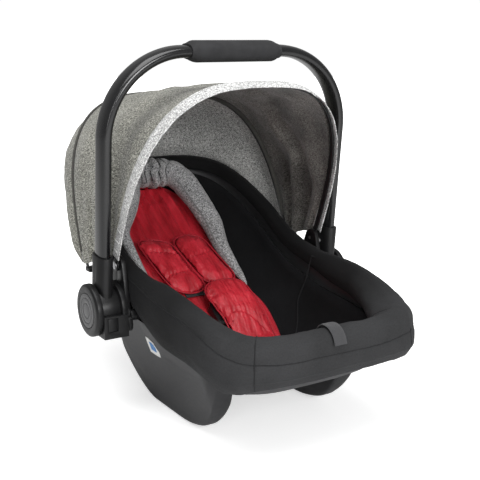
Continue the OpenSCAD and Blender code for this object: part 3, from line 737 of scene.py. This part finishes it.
def roll_points():
    count = 264
    loops = []
    seam = []
    for j in range(count):
        t = 2 * math.pi * j / count
        y0 = rim_point(t, 0)[1]
        k = fullness(y0)
        outer, under = roll_profile(t)
        loop = []
        for i, q in enumerate(outer):
            p = rim_point(t, q[0])
            edge = min(i, len(outer) - 1 - i) / 6
            near = abs(i - ROLL_SEAM_ROW)
            groove = 1.5 * bell(near, 1.3) * (0.4 + 0.6 * k)
            pucker = 0.7 * k * bell(near, 5.0) * noise.noise(Vector((p[0] * 0.11, p[1] * 0.11, 2.0)))
            soft = (1.5 * k + 0.35) * min(edge, 1) * fbm(p[0] * 0.02, p[1] * 0.02, q[1] * 0.035)
            ripple = 0.45 * min(edge, 1) * fbm(p[0] * 0.07, p[1] * 0.07, q[1] * 0.05 + 9)
            c = vec(-1.0, -8.0)
            d = np.array(q) - c
            d = unit(d, 1e-9)
            out = np.array(q) + d * (soft + ripple + pucker - groove)
            p = rim_point(t, out[0])
            loop.append(vec(p[0], p[1], rim_z(y0) + out[1]))
            if i == ROLL_SEAM_ROW:
                seam.append(loop[-1])
        for q in under:
            p = rim_point(t, q[0])
            loop.append(vec(p[0], p[1], rim_z(y0) + q[1]))
        loops.append(loop)
    return loops, seam


roll_loops, roll_seam = roll_points()
roll = skin("rim_cover_look", roll_loops, wrap_u=True, wrap_v=True)
piece(roll, "rim_cover", "rim")
detail(tube("rim_seam", roll_seam, 0.75, closed=True, sides=6), "rim_cover", "seam")
for k, side in enumerate((-1, 1)):
    t = math.radians(-90 + side * 30)
    path = [vec(*rim_point(t, q[0]), rim_z(rim_point(t, 0)[1]) + q[1]) for q in roll_profile(t)[0]]
    out = vec(math.cos(t), math.sin(t), 0.0)
    detail(tube(f"rim_corner_seam_{k}", [q + out * 0.15 for q in path], 0.7, sides=6), "rim_cover", "seam")


# ---- rockers
def ground_z(y):
    return max(curve(GROUND_LINE, y), 0.0)


def rocker_top(y):
    return ROCKER_H + 38 * ease((y - 45) / 50) - 14 * ease((-150 - y) / 46)


def flare(z):
    return 36 * (max(z, 0.0) / 140) ** 1.6


def beside_bowl(y, z):
    """Half width at which the rocker's wall clears the bowl."""
    return bowl_half(y, z) + GAP + 4.2


def rocker_points(side):
    loops = []
    for j in range(73):
        u = crowd(j, 72)
        y = mix(ROCKER_FOOT, ROCKER_HEAD, u)
        end = min(y - ROCKER_FOOT, ROCKER_HEAD - y)
        big = 15.0
        inset = big * (1 - math.sqrt(max(0.0, 1 - (max(big - end, 0) / big) ** 2)))
        g, top = ground_z(y), rocker_top(y)
        xo = ROCKER_HALF_W - inset
        r = 7.0
        lip = 1.8 * ease((y - 40) / 40)
        profile = []
        for i in range(19):
            z = mix(top, g + r, (i / 18) ** 1.25)
            f = max(flare(z), beside_bowl(y, z) - ROCKER_HALF_W)
            f += lip * ease((z - top + 9) / 6)
            fold = ground_z(y) + 22 + 10 * ease((y + 190) / 90)
            f -= 1.4 * (1 - ease((z - fold) / 5))
            profile.append((xo + f, z))
        base = profile[-1][0] - xo
        for i in range(1, 7):
            a = math.radians(15 * i)
            profile.append((xo + base - r * 0.9 * (1 - math.cos(a)), g + r - r * math.sin(a)))
        xi = ROCKER_HALF_W - 24 + inset * 0.4
        for i in range(0, 6):
            a = math.radians(18 * i)
            profile.append((xi + 6 * (1 - math.sin(a)), g + 6 * (1 - math.cos(a))))
        zi = max(min(bowl_z(xi + 3, y, 0) - 2.0, top), g + 12)
        for i in range(1, 7):
            profile.append((xi, mix(g + 6, zi, i / 6)))
        loops.append([vec(side * x, y, z) for x, z in profile])
    return loops


for side, node in ((-1, "rocker_left"), (1, "rocker_right")):
    o = skin(node + "_look", rocker_points(side), caps=True)
    solidify(o, 3.0)
    apply_modifiers(o)
    sharpen(o, 48)
    piece(o, node, "rocker")

LABEL_Y, LABEL_Z = -39, 109.0
LABEL_HALF_W, LABEL_HALF_H = 17.5, 14.5
lean = math.atan(flare(LABEL_Z + 1) - flare(LABEL_Z))
label = []
for i in range(13):
    row = []
    for j in range(13):
        a, b = (i / 6 - 1), (j / 6 - 1)
        cut = 1 - 0.06 * (a * a * b * b)
        h = LABEL_HALF_H * b * cut
        yl, zl = LABEL_Y + LABEL_HALF_W * a * cut, LABEL_Z + h * math.cos(lean)
        wall = max(ROCKER_HALF_W + flare(zl), beside_bowl(yl, zl))
        row.append(vec(-wall - 0.7, yl, zl))
    label.append(row)
o = grid("side_label_look", label)
solidify(o, 0.5, 0.0)
apply_modifiers(o)
piece(o, "side_label", "label")
mark = [[p + vec(-0.5, 0, 0) for p in row[3:10]] for row in label[3:10]]
o = grid("side_label_mark", mark)
solidify(o, 0.3, 0.0)
apply_modifiers(o)
detail(o, "side_label", "label_mark")


# ---- newborn insert
INSERT_SPREAD = 0.17


def insert_half(y):
    u = (y + 96) / 332
    w = 76 * max(1 - abs(2 * u - 1) ** 5, 0.12) ** 0.5
    return w + 6 * bell(y + 12, 28) - 9 * bell(y - 55, 30)


def insert_spread(y, left):
    """Growth of the insert's left side, which lies out against the seat."""
    return 1 + (INSERT_SPREAD * ease((y - 20) / 50) * (1 - ease((y - 175) / 50)) if left else 0)


def insert_points():
    loops = []
    for i in range(150):
        u = crowd(i, 149)
        y = mix(-95.5, 235.5, u)
        w = insert_half(y)
        end = min(1, 0.25 + 7 * min(u, 1 - u))
        top, low = [], []
        for j in range(61):
            a = j / 30 - 1
            x = w * math.sin(a * math.pi / 2)
            crown = (1 - abs(x / w) ** 2.6) ** 0.5
            x *= insert_spread(y, a < 0)
            gather = 0.8 + 4.4 * ease((y - 112) / 40) + 1.2 * ease((-30 - y) / 40)
            way = x * (0.27 + 0.0006 * (y - 60)) + 3.6 * fbm(x * 0.016, y * 0.008, 3.0)
            pleat = gather * (1 - 2 * abs(math.sin(way * 0.5)) ** 0.7) * crown
            soft = 3.0 * fbm(x * 0.03, y * 0.016, 6.0) * crown + 1.3 * fbm(x * 0.1, y * 0.035, 16.0) * crown
            top.append(on_seat(x, y, 2.2 + (INSERT_T - 2.2) * mix(0.35, 1.0,
                                                                  crown) * end + (pleat + soft) * 0.9))
            low.append(on_seat(x, y, 1.6))
        loops.append(top + low[::-1])
    return loops


insert = skin("newborn_insert_look", insert_points(), wrap_v=True, caps=True)
piece(insert, "newborn_insert", "red")
edge = []
for side in (1, -1):
    for i in range(80):
        u = i / 79 if side > 0 else 1 - i / 79
        y = mix(-95, 235, u)
        edge.append(on_seat(side * (insert_half(y) + 0.6) * insert_spread(y, side < 0), y, 5.2))
detail(tube("insert_piping", edge, 2.0, closed=True, sides=8), "newborn_insert", "red_piping")


# ---- pads that swell as cloth
PAD_LEAN = 0.13


def pad_x(x, y):
    """The pads lean to the left towards the head."""
    return x - PAD_LEAN * max(y - 25, 0)


def pad_half(u, half, taper, power):
    return half * taper(u) * max(1 - abs(2 * u - 1) ** power, 0.02) ** 0.5


def pad_solid(name, y0, y1, h0, h1, half, x=0.0, lift=lambda y: 0.0, taper=lambda u: 1.0, power=4.0, rows=40):
    loops = []
    for i in range(rows + 1):
        u = crowd(i, rows)
        y = mix(y0, y1, u)
        w = pad_half(u, half, taper, power)
        end = min(1, 0.3 + 5 * min(u, 1 - u))
        top, low = [], []
        for j in range(17):
            a = j / 8 - 1
            crown = (1 - abs(a) ** 2.4) ** 0.5 * end
            m = (h0 + h1) / 2
            place_x = pad_x(x + w * a, y)
            top.append(on_seat(place_x, y, lift(y) + mix(m, h1, crown)))
            low.append(on_seat(place_x, y, lift(y) + mix(m, h0, crown)))
        loops.append(top + low[::-1])
    return skin(name, loops, wrap_v=True, caps=True)


def pad_rim(y0, y1, h, half, x=0.0, lift=lambda y: 0.0, taper=lambda u: 1.0, power=4.0):
    edge = []
    for side in (1, -1):
        for i in range(40):
            u = crowd(i + 0.5, 40)
            u = u if side > 0 else 1 - u
            y = mix(y0, y1, u)
            w = pad_half(u, half, taper, power) + 0.4
            edge.append(on_seat(pad_x(x + side * w, y), y, lift(y) + h))
    return edge


STRAP_H = INSERT_T + 1.5
PAD_H = STRAP_H + 2.2
BUCKLE_H, BUCKLE_T = INSERT_T + 4.2, 16.4
OVER = BUCKLE_H + BUCKLE_T - PAD_H


def crotch_lift(y):
    return OVER * ease((y + 76) / 38)


def crotch_bend(x):
    return -44 - 0.012 * x * x


def crotch_taper(u):
    return mix(0.9, 1.04, ease(u * 1.2))


pads = {
    "shoulder_pad_left": pad_solid("shoulder_pad_left_look", 20, 118, PAD_H + 2, PAD_H + PAD_T - 2, 33, -39,
                                   power=7.0),
    "shoulder_pad_right": pad_solid("shoulder_pad_right_look", 27, 121, PAD_H + 2, PAD_H + PAD_T - 2, 31,
                                    27, power=6.0),
    "crotch_pad": pad_solid("crotch_pad_look", -102, 15, PAD_H + 2, PAD_H + 13, 40, 10.0, crotch_lift,
                            crotch_taper,
                            8.0, 50),
}
puff([(pads["shoulder_pad_left"], 3.2, 5.0, 3.0), (pads["shoulder_pad_right"], 3.2, 5.0, 3.0),
      (pads["crotch_pad"], 3.0, 4.0, 3.0)])


def quilt(y_lines, depth, h):
    def move(p):
        g = sum(bell(p[1] - bend(p[0]), 2.6) for bend in y_lines)
        base = on_seat(p[0], p[1], h)[2]
        near = sum(bell(p[1] - bend(p[0]), 9) for bend in y_lines)
        ripple = 0.9 * fbm(p[0] * 0.07, p[1] * 0.09, p[2] * 0.05) + 0.6 * fbm(p[0] * 0.2, p[1] * 0.1, 4.0)
        ripple += 0.7 * min(near, 1) * math.sin(p[0] * 0.8 + 3 * fbm(p[0] * 0.05, p[1] * 0.03, 8.0))
        if p[2] > base:
            p = p + vec(0, 0, -depth * min(g, 1) * min((p[2] - base) / 6, 1) + ripple)
        return p
    return move


reshape(pads["shoulder_pad_left"], quilt([lambda x: 52 + 0.2 * (x + 38), lambda x: 84 - 0.1 * (x + 38)],
                                         3.6, PAD_H + 6))
reshape(pads["shoulder_pad_right"], quilt([lambda x: 78 + 0.12 * (x - 27)], 1.6, PAD_H + 6))
reshape(pads["crotch_pad"], quilt([crotch_bend], 3.0, PAD_H + 4))
for node, o in pads.items():
    piece(o, node, "red")
mid_h = PAD_H + PAD_T / 2
detail(tube("pad_piping_left", pad_rim(20, 118, mid_h, 33, -39, power=7.0), 1.3, closed=True),
       "shoulder_pad_left", "red_piping")
detail(tube("pad_piping_right", pad_rim(27, 121, mid_h, 31, 27, power=6.0), 1.3, closed=True),
       "shoulder_pad_right",
       "red_piping")
detail(tube("crotch_piping", pad_rim(-102, 15, PAD_H + 7, 38, 10.0, crotch_lift, crotch_taper, 8.0), 1.3,
            closed=True),
       "crotch_pad", "red_piping")
seam = [on_seat(x + 10, crotch_bend(x), PAD_H + 10.2 + crotch_lift(-44)) for x in range(-30, 31, 2)]
detail(tube("crotch_seam", seam, 0.8, sides=6), "crotch_pad", "red_piping")


# ---- head hugger
HUGGER_TIP_R, HUGGER_R, HUGGER_HALF_W, HUGGER_LEFT_OUT = 3.6, 23.0, 75, 34


def hugger_loops():
    count, sides = 260, 32
    spine, size = [], []
    for i in range(count + 1):
        a = math.radians(-20 + 220 * i / count)
        lift = ease(math.sin(a) * 0.9 + 0.35)
        left = math.cos(a) < 0
        r = mix(HUGGER_TIP_R, HUGGER_R, lift)
        y = mix(24, 218, ease((math.sin(a) + 0.35) / 1.35))
        low = 1 - ease((y - 95) / 100)
        shift = HUGGER_LEFT_OUT * low if left else 9 * ease((130 - y) / 50) * ease((y + 6) / 60)
        x = HUGGER_HALF_W * root_curve(math.cos(a), 2.6) - shift
        r *= 1 - 0.4 * low * left
        s = seat_slope(y)
        spine.append(vec(x + sway(y), y, seat_z(min(x + sway(y), 0),
                                                      y) + (INSERT_T + 2 + r) / math.cos(s)))
        size.append(r)
    d = np.concatenate([[0], np.cumsum(np.linalg.norm(np.diff(spine, axis=0), axis=1))])
    even = np.linspace(0, d[-1], count + 1)
    spine = [np.array([np.interp(e, d, [p[c] for p in spine]) for c in range(3)]) for e in even]
    size = np.interp(even, d, size)
    mid = d[-1] / 2
    loops = []
    for i, p in enumerate(spine):
        ahead = spine[min(i + 1, count)] - spine[max(i - 1, 0)]
        ahead = unit(ahead)
        s = seat_slope(p[1])
        up = vec(0, -math.sin(s), math.cos(s))
        out = np.cross(ahead, up)
        out = unit(out)
        up = np.cross(out, ahead)
        tip = min(even[i], d[-1] - even[i]) / 34
        r = size[i] * math.sqrt(max(1 - (1 - min(tip, 1)) ** 2, 0.01))
        near = bell(even[i] - mid - 6, 38)
        pinch = bell(even[i] - mid - 14, 9)
        loop = []
        for k in range(sides):
            b = 2 * math.pi * k / sides
            way = even[i] * 0.32 + 2.4 * fbm(even[i] * 0.014, math.cos(b), 1.0) + 0.9 * math.sin(b * 2)
            pleat = (0.62 * near + 0.02) * (0.6 - abs(math.sin(way * 0.5)) ** 0.45)
            soft = 0.06 * fbm(even[i] * 0.02, math.cos(b) * 0.9, math.sin(b) * 0.9 + 5)
            q = r * (1 - pleat + soft - 0.16 * pinch)
            loop.append(p + q * (math.cos(b) * out + 0.94 * math.sin(b) * up))
        loops.append(loop)
    return loops


hug = hugger_loops()
hugger = skin("head_hugger_look", hug, wrap_v=True, caps=True)
piece(hugger, "head_hugger", "light")
# Painted shadow: dark cords in the dark seam cloth lie across the top pleats of the hugger, in the crease
# valleys.
for k, loop in enumerate((121, 126, 133, 139, 145)):
    line = spline([hug[loop + (i % 3) - 1][i] for i in range(3, 16, 2)], 3)
    detail(tube(f"hugger_crease_shadow_{k}", line, 0.9, sides=6, flat=0.8), "head_hugger", "seam")
for name, k in (("inner", 13), ("outer", 30)):
    detail(tube(f"hugger_seam_{name}", [loop[k] for loop in hug[10:-10:2]], 0.9, sides=6), "head_hugger",
           "hugger_seam")


# ---- webbing
TOP_SIDE, UNDER_SIDE = [k / 5 - 1 for k in range(11)], [1 - k / 5 for k in range(11)]


def webbing(node, path, width, thick):
    """Flat strap along a path; the path is its underside."""
    side = np.array((1, 0, 0), float)
    loops = []
    for i in range(len(path)):
        d = path[min(i + 1, len(path) - 1)] - path[max(i - 1, 0)]
        up = np.cross(side, d)
        up = unit(up)
        if up[2] < 0 and abs(up[2]) > 0.3:
            up = -up
        w = width / 2
        loop = [path[i] + side * (w * a) + up * (thick * (1 - 0.25 * abs(a) ** 8)) for a in TOP_SIDE]
        loop += [path[i] + side * (w * a) + up * (thick * 0.25 * abs(a) ** 8) for a in UNDER_SIDE]
        loops.append(loop)
    o = skin(node + "_look", loops, wrap_v=True, caps=True)
    sharpen(o, 60)
    return piece(o, node, "webbing")


for side, node in ((-1, "shoulder_strap_left"), (1, "shoulder_strap_right")):
    webbing(node, [vec(side * 30 + sway(y), y, seat_z(0, y) + (STRAP_H + 0.3 + 0.2 * math.sin(y * 0.1))
                             / math.cos(seat_slope(y))) for y in np.linspace(24.5, 121.5, 48)], 34, 1.4)
webbing("crotch_strap", [vec(sway(y), y, seat_z(0, y) + (STRAP_H + 0.2) / math.cos(seat_slope(y)))
                         for y in np.linspace(-87.5, -62.5, 16)], 34, 1.4)
ROUTE = [(-232, 109), (-246, 112), (-260, 122), (-271, 137), (-277, 156), (-277, 172), (-281, 183),
         (-291, 191.5),
         (-302, 193.5), (-312, 190.5), (-320, 182.5), (-324.5, 172)]
route = [vec(-9.5 * ease((-250 - q[0]) / 50), q[0], q[1]) for q in spline(ROUTE, 8)]
loops = []
for i, p in enumerate(route):
    d = route[min(i + 1, len(route) - 1)] - route[max(i - 1, 0)]
    n = vec(0.0, d[2], -d[1])
    n = unit(n)
    loops.append([p + vec(10 * a, 0, 0) + n * (1.6 - 0.35 * abs(a) ** 8) for a in TOP_SIDE]
                 + [p + vec(10 * a, 0, 0) + n * 0.35 * abs(a) ** 8 for a in UNDER_SIDE])
strap = skin("adjuster_strap_look", loops, wrap_v=True, caps=True)
sharpen(strap, 60)
piece(strap, "adjuster_strap", "webbing")


# ---- handle
def in_handle(p):
    c, s = math.cos(HANDLE_LEAN), math.sin(HANDLE_LEAN)
    return vec(p[0], p[1] * c - p[2] * s, HUB_Z + p[1] * s + p[2] * c)


def oval(w, d):
    return [super_point(w / 2, d / 2, 2.5, 2 * math.pi * k / 44) for k in range(44)]


TUBE_W, TUBE_D = 18.0, 35.0
LEG_FOOT, LEG_TOP, GRIP_HALF = 34.0, HANDLE_H - BEND_R, 77.5
spine = [((HANDLE_W, z), 0.0) for z in np.linspace(LEG_FOOT, LEG_TOP, 12)[:-1]]
spine += [((HANDLE_W - BEND_R + BEND_R * math.cos(a), LEG_TOP + BEND_R * math.sin(a)), a)
          for a in [math.pi / 2 * k / 44 for k in range(45)]]
spine += [((x, HANDLE_H), math.pi / 2) for x in np.linspace(HANDLE_W - BEND_R, 0, 8)[1:]]
spine += [((-x, z), math.pi - a) for (x, z), a in reversed(spine[:-1])]
loops = [[in_handle((x + u * math.cos(a), v, z + u * math.sin(a))) for u, v in oval(TUBE_W, TUBE_D)]
         for (x, z), a in spine]
tube_look = skin("handle_tube_look", loops, wrap_v=True, caps=True)
sharpen(tube_look, 60)
piece(tube_look, "handle_tube", "tube")
loops = []
for x in [-GRIP_HALF, -77.4] + list(np.linspace(-77, 77, 78)) + [77.4, GRIP_HALF]:
    end = ease((GRIP_HALF - abs(x)) / 13)
    w, d = mix(22.5, 31.5, end), mix(38.5, 45.2, end)
    if abs(x) > 77.45:
        w, d = 18.4, 35.4
    loops.append([in_handle((x, v, HANDLE_H + u)) for u, v in oval(w, d)])
grip = skin("grip_look", loops, wrap_v=True, caps=True)
sharpen(grip, 50)
piece(grip, "grip", "grip")


def arch_angles(count, cut=0.6):
    return [math.radians(mix(cut, 180 - cut, crowd(i, count))) for i in range(count + 1)]


def top_rows(out, sag, seed):
    rows = []
    for t in arch_angles(150):
        row = []
        high = math.sin(t)
        foot = 1 - ease(high * 1.25)
        for j in range(49):
            s = j / 48
            a, b = front_point(t, out), rear_point(t, out)
            f = mix(10.2 / np.linalg.norm(b - a), 0.985, s)
            p = a + (b - a) * f
            n = vec(math.cos(t) * 0.9, 0, math.sin(t))
            n = unit(n)
            body = math.sin(math.pi * s) ** 0.7 if 0 < s < 1 else 0.0
            span = np.linalg.norm(b - a)
            wave = min(span / 90, 1.0)
            right = ease((math.cos(t) - 0.1) / 0.5)
            fan = math.sin(s * 15 + 3.4 * fbm(t * 1.8, s * 1.6, seed) + 1.2)
            fold = (3.4 * foot + 2.2 + 3.2 * right) * wave * fan
            soft = 4.2 * wave * fbm(t * 3.0, s * 2.6, seed + 3) + 1.8 * wave * fbm(t * 8, s * 5, seed + 8)
            drape = -sag * math.sin(math.pi * s) * (0.35 + 0.65 * high)
            tail = vec(0, 0, -11 * ease((s - 0.3) / 0.7) * (1 - ease(high / 0.2)))
            row.append(p + n * body * (fold + soft + drape) + tail)
        rows.append(row)
    return rows


def sheet_piece(name, rows, thickness):
    o = grid(name, rows, uv_turn=True)
    fix_normals(o)
    solidify(o, thickness, 0.0)
    return apply_modifiers(o)


outer = top_rows(1.9, -3.0, 0.0)
top_panel = sheet_piece("canopy_top_look", outer, 0.5)
lining_rows = top_rows(0.7, -3.0, 0.0)
lining = sheet_piece("canopy_top_lining", lining_rows, 0.4)
for o, rows, mat in ((top_panel, outer, "melange"), (lining, lining_rows, "lining")):
    o.data.materials.clear()
    o.data.materials.append(MAT[mat])
    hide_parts("canopy_top_panel")
    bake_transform(o)


def hook_point(t, out):
    a = math.radians(mix(26, 154, t / math.pi))
    p = rim_point(a, 17 + out)
    return vec(p[0], p[1], rim_z(rim_point(a, 0)[1]) - 6)


def back_rows(out, seed):
    rows = []
    for t in arch_angles(150):
        row = []
        for j in range(45):
            s = mix(0.012, 1.0, j / 44)
            a, b = rear_point(t, out), hook_point(t, out)
            span = np.linalg.norm(b - a)
            bulge = 9 * math.sin(math.pi * s) * math.sin(t)
            p = a + (b - a) * s + vec(0, bulge * 0.8, bulge * 0.6)
            n = vec(math.cos(t) * 0.8, 0.7 * math.sin(t), 0.6 * math.sin(t) + 0.1)
            n = unit(n)
            body = math.sin(math.pi * min(s, 1.0)) ** 0.6 if 0 < s < 1 else 0.0
            wave = min(span / 90, 1.0) * body
            across = math.degrees(t)
            low = ease((s - 0.45) / 0.55)
            gather = 1.7 * low * math.sin(across * 0.62 + 2 * fbm(t * 2, s * 1.5, seed))
            belly = 12.0 * math.sin(math.pi * min(s / 0.8, 1.0)) ** 0.8 if s < 0.8 else 0.0
            soft = 2.8 * fbm(t * 2.4, s * 2.0, seed + 4) + 0.9 * fbm(t * 8, s * 6, seed + 9)
            tail = vec(0, 0, -11 * (1 - ease(math.sin(t) / 0.2)) * (1 - 0.4 * s))
            row.append(p + n * wave * (gather + soft) + n * belly * min(span / 90, 1.0) + tail)
        rows.append(row)
    return rows


outer = back_rows(1.6, 20.0)
inner = back_rows(0.5, 20.0)
for name, rows, mat, thick in (("canopy_back_look", outer, "melange", 0.5),
                               ("canopy_back_lining", inner, "back_lining", 0.4)):
    o = sheet_piece(name, rows, thick)
    piece(o, "canopy_back_panel", mat)


def bow_point(t, v, out):
    x, h = super_point(FRONT_W + out, FRONT_H + out, ARCH_N, t)
    c, s = math.cos(FRONT_LEAN), math.sin(FRONT_LEAN)
    return vec(x, CANOPY_Y + v * c - h * s, CANOPY_Z + v * s + h * c)


HEM_HALF = 10.9
hem_turns = [t for t in arch_angles(190, 0.05) if super_point(1, FRONT_H, ARCH_N, t)[1] >= 14]


def hem_rows(out):
    rows = []
    for t in hem_turns:
        row = []
        for j in range(25):
            a = j / 12 - 1
            crown = 0.9 * (1 - a ** 4)
            ridge = -0.75 * (bell(abs(a) - 0.74, 0.07))
            ripple = 0.7 * fbm(t * 9, a * 0.6, 2.0) + 0.35 * abs(a) * fbm(t * 26, a, 5.0)
            row.append(bow_point(t, HEM_HALF * a, out + crown + ridge + ripple))
        rows.append(row)
    return rows


rows = hem_rows(1.6)
hem = sheet_piece("canopy_hem_look", rows, 1.3)
piece(hem, "canopy_front_hem", "hem")


def stitches(name, path, length, gap, r):
    """Row of short thread dashes along a path."""
    sides = 5
    p = np.asarray(path, float)
    d = np.concatenate([[0], np.cumsum(np.linalg.norm(np.diff(p, axis=0), axis=1))])
    verts, faces = [], []
    at = gap
    while at + length < d[-1]:
        ends = [np.array([np.interp(at + k * length, d, p[:, c]) for c in range(3)]) for k in (0, 0.12,
                                                                                               0.88, 1)]
        axis = ends[3] - ends[0]
        axis = unit(axis)
        a = np.cross(axis, (0.2, 0.3, 0.9))
        a = unit(a)
        b = np.cross(axis, a)
        first = len(verts)
        for e, size in zip(ends, (0.35, 1, 1, 0.35)):
            for k in range(sides):
                w = 2 * math.pi * k / sides
                verts.append(e + r * size * (math.cos(w) * a + math.sin(w) * b))
        for i in range(3):
            for k in range(sides):
                m = (k + 1) % sides
                faces.append((first + i * sides + k, first + (i + 1) * sides + k, first + (i + 1) * sides + m,
                              first + i * sides + m))
        faces.append(tuple(first + k for k in range(sides)))
        faces.append(tuple(first + 3 * sides + k for k in reversed(range(sides))))
        at += length + gap
    return fix_normals(new_object(name, verts, faces))


for k, v in enumerate((-8.1, 8.1)):
    path = [bow_point(t, v, 2.35 + 0.7 * fbm(t * 9, v / HEM_HALF * 0.6, 2.0)) for t in hem_turns]
    detail(stitches(f"hem_stitches_{k}", path, 2.6, 1.5, 0.42), "canopy_front_hem", "hem_thread")
for side in (0, 1):
    for k in range(3):
        t = hem_turns[4 + 5 * k] if side else hem_turns[-5 - 5 * k]
        path = [bow_point(t, v, 3.3) for v in np.linspace(-6.5, 6.5, 12)]
        detail(tube(f"tack_{side}_{k}", path, 0.8, sides=6), "canopy_front_hem", "thread")

pipe = [rear_point(t, 2.6) for t in arch_angles(120, 1.2)]
detail(tube("rear_bow_piping", pipe, 2.1), "canopy_back_panel", "piping")
inside = [rear_point(t, -3.4) + vec(0, -5.5, 2.0) for t in arch_angles(120, 3.0)]
detail(tube("rear_bow_tape", inside, 1.5, flat=2.6), "canopy_back_panel", "piping")
pipe = [hook_point(t, 1.9) for t in arch_angles(100, 0.8)]
detail(tube("back_panel_edge", pipe, 1.9), "canopy_back_panel", "piping")


# ---- hard pieces carried over from the frame
def refine(node, material, bevel, angle=32.0, shade=34.0):
    """Copy of a hard CAD node with rounded edges and smooth shading, which stands for it."""
    bm = bmesh.new()
    bm.from_mesh(frame["nodes"][node].data)
    bmesh.ops.remove_doubles(bm, verts=bm.verts, dist=2e-5)
    bmesh.ops.dissolve_limit(bm, angle_limit=math.radians(0.6), verts=bm.verts, edges=bm.edges)
    me = bpy.data.meshes.new(node + "_look")
    bm.to_mesh(me)
    bm.free()
    o = add(node + "_look", me)
    me.polygons.foreach_set("use_smooth", [True] * len(me.polygons))
    if bevel:
        b = o.modifiers.new("edges", "BEVEL")
        b.width = bevel * 0.001
        b.segments = 2
        b.limit_method = "ANGLE"
        b.angle_limit = math.radians(angle)
        b.harden_normals = False
        apply_modifiers(o)
    sharpen(o, shade)
    return piece(o, node, material)


for side in ("left", "right"):
    for stem, *how in (("side_bracket", "hard", 1.2), ("hub_base", "hard", 1.2), ("hub_pin", "steel", 0.3),
                       ("adapter_button", "hard", 0.5), ("socket", "hard", 1.5, 40), ("hub_cap", "hard", 1.0),
                       ("release_button", "button", 0.4), ("lock_gear", "steel", 0.3),
                       ("button_spring", "steel", 0)):
        refine(f"{stem}_{side}", *how)
refine("seat_shell", "shell", 0, shade=50)
refine("foam_liner", "foam", 0, shade=50)
for node, *how in (("buckle_body", "hard", 1.5), ("buckle_button", "red_button", 0.6),
                   ("buckle_tongues", "steel", 0.3), ("splitter_plate", "steel", 0.3),
                   ("adjuster_housing", "hard", 1.2), ("adjuster_lever", "steel", 0.4),
                   ("canopy_front_bow", "hard", 0.5), ("canopy_rear_bow", "hard", 0.5),
                   ("rear_bow_clips", "hard", 1.0), ("rear_belt_hook", "hard", 1.5),
                   ("rocker_screws", "steel", 0.25), ("bracket_screws", "steel", 0.25),
                   ("handle_screws", "steel", 0.25), ("canopy_pivot_pins", "steel", 0.25)):
    refine(node, *how)


# ---- stage, lights and camera
def floor_material():
    g = Graph("studio_floor", Roughness=0.9, Specular_IOR_Level=0.1)
    n = g.noise(6, detail=2.0)
    far = g.node("VectorMath", operation="LENGTH")
    g.link(g.coords(1), far.inputs[0])
    # Painted light: the floor glows to the camera only, 0.52 near the seat and up to 1.42 about 1.5 m out.
    # This pales the cast shadow and whitens the far floor into the backdrop.
    painted_floor_glow = g.plus(g.times(g.math("SUBTRACT", far.outputs["Value"], 0.35), 0.9, True), 0.52)
    painted_floor_glow = g.times(painted_floor_glow, g.node("LightPath").outputs["Is Camera Ray"])
    g.shader.inputs["Emission Color"].default_value = (1, 1, 1, 1)
    g.link(painted_floor_glow, g.shader.inputs["Emission Strength"])
    return g.out(g.ramp(n, [(0.3, (0.90, 0.90, 0.90)), (0.7, (0.92, 0.92, 0.92))]))


count = 96
floor = new_object("floor", [(12000 * math.cos(2 * math.pi * k / count),
                              12000 * math.sin(2 * math.pi * k / count), 0)
                             for k in range(count)], [tuple(range(count))], smooth=False)
floor.data.materials.append(floor_material())

world = bpy.data.worlds.new("studio")
bpy.context.scene.world = world
world.use_nodes = True
tree = world.node_tree
soft_light = tree.nodes["Background"]
soft_light.inputs[0].default_value = (1, 1, 1, 1)
soft_light.inputs[1].default_value = 0.34
backdrop = tree.nodes.new("ShaderNodeBackground")
backdrop.inputs[0].default_value = (1, 1, 1, 1)
backdrop.inputs[1].default_value = 1.02
seen = tree.nodes.new("ShaderNodeLightPath")
chosen = tree.nodes.new("ShaderNodeMixShader")
tree.links.new(seen.outputs["Is Camera Ray"], chosen.inputs[0])
tree.links.new(soft_light.outputs[0], chosen.inputs[1])
tree.links.new(backdrop.outputs[0], chosen.inputs[2])
tree.links.new(chosen.outputs[0], tree.nodes["World Output"].inputs[0])


def aim(o, way):
    o.rotation_mode = "QUATERNION"
    o.rotation_quaternion = way.to_track_quat("-Z", "Y")


def area_light(name, place_at, target, size, power):
    data = bpy.data.lights.new(name, "AREA")
    data.shape = "RECTANGLE"
    data.size, data.size_y = size
    data.energy = power
    o = add(name, data)
    o.location = place_at
    aim(o, Vector(target) - Vector(place_at))
    return o


area_light("key", (-0.5, -0.5, 2.6), (0, 0, 0.2), (2.2, 2.2), 62)
area_light("fill", (-0.1, -2.3, 1.0), (0, 0, 0.32), (1.2, 0.8), 34)
area_light("strip", (-1.5, -1.7, 0.9), (-0.1, 0, 0.35), (0.14, 1.4), 7)

CAMERA_AT, CAMERA_AIM = (-0.7239, -1.1971, 0.5685), (0.5206, 0.8249, -0.2201)
cam_data = bpy.data.cameras.new("camera")
camera = add("camera", cam_data)
cam_data.sensor_width = 36
cam_data.lens = 67.5
camera.location = CAMERA_AT
aim(camera, Vector(CAMERA_AIM))
bpy.context.scene.camera = camera
bpy.context.scene.view_settings.view_transform = "Standard"
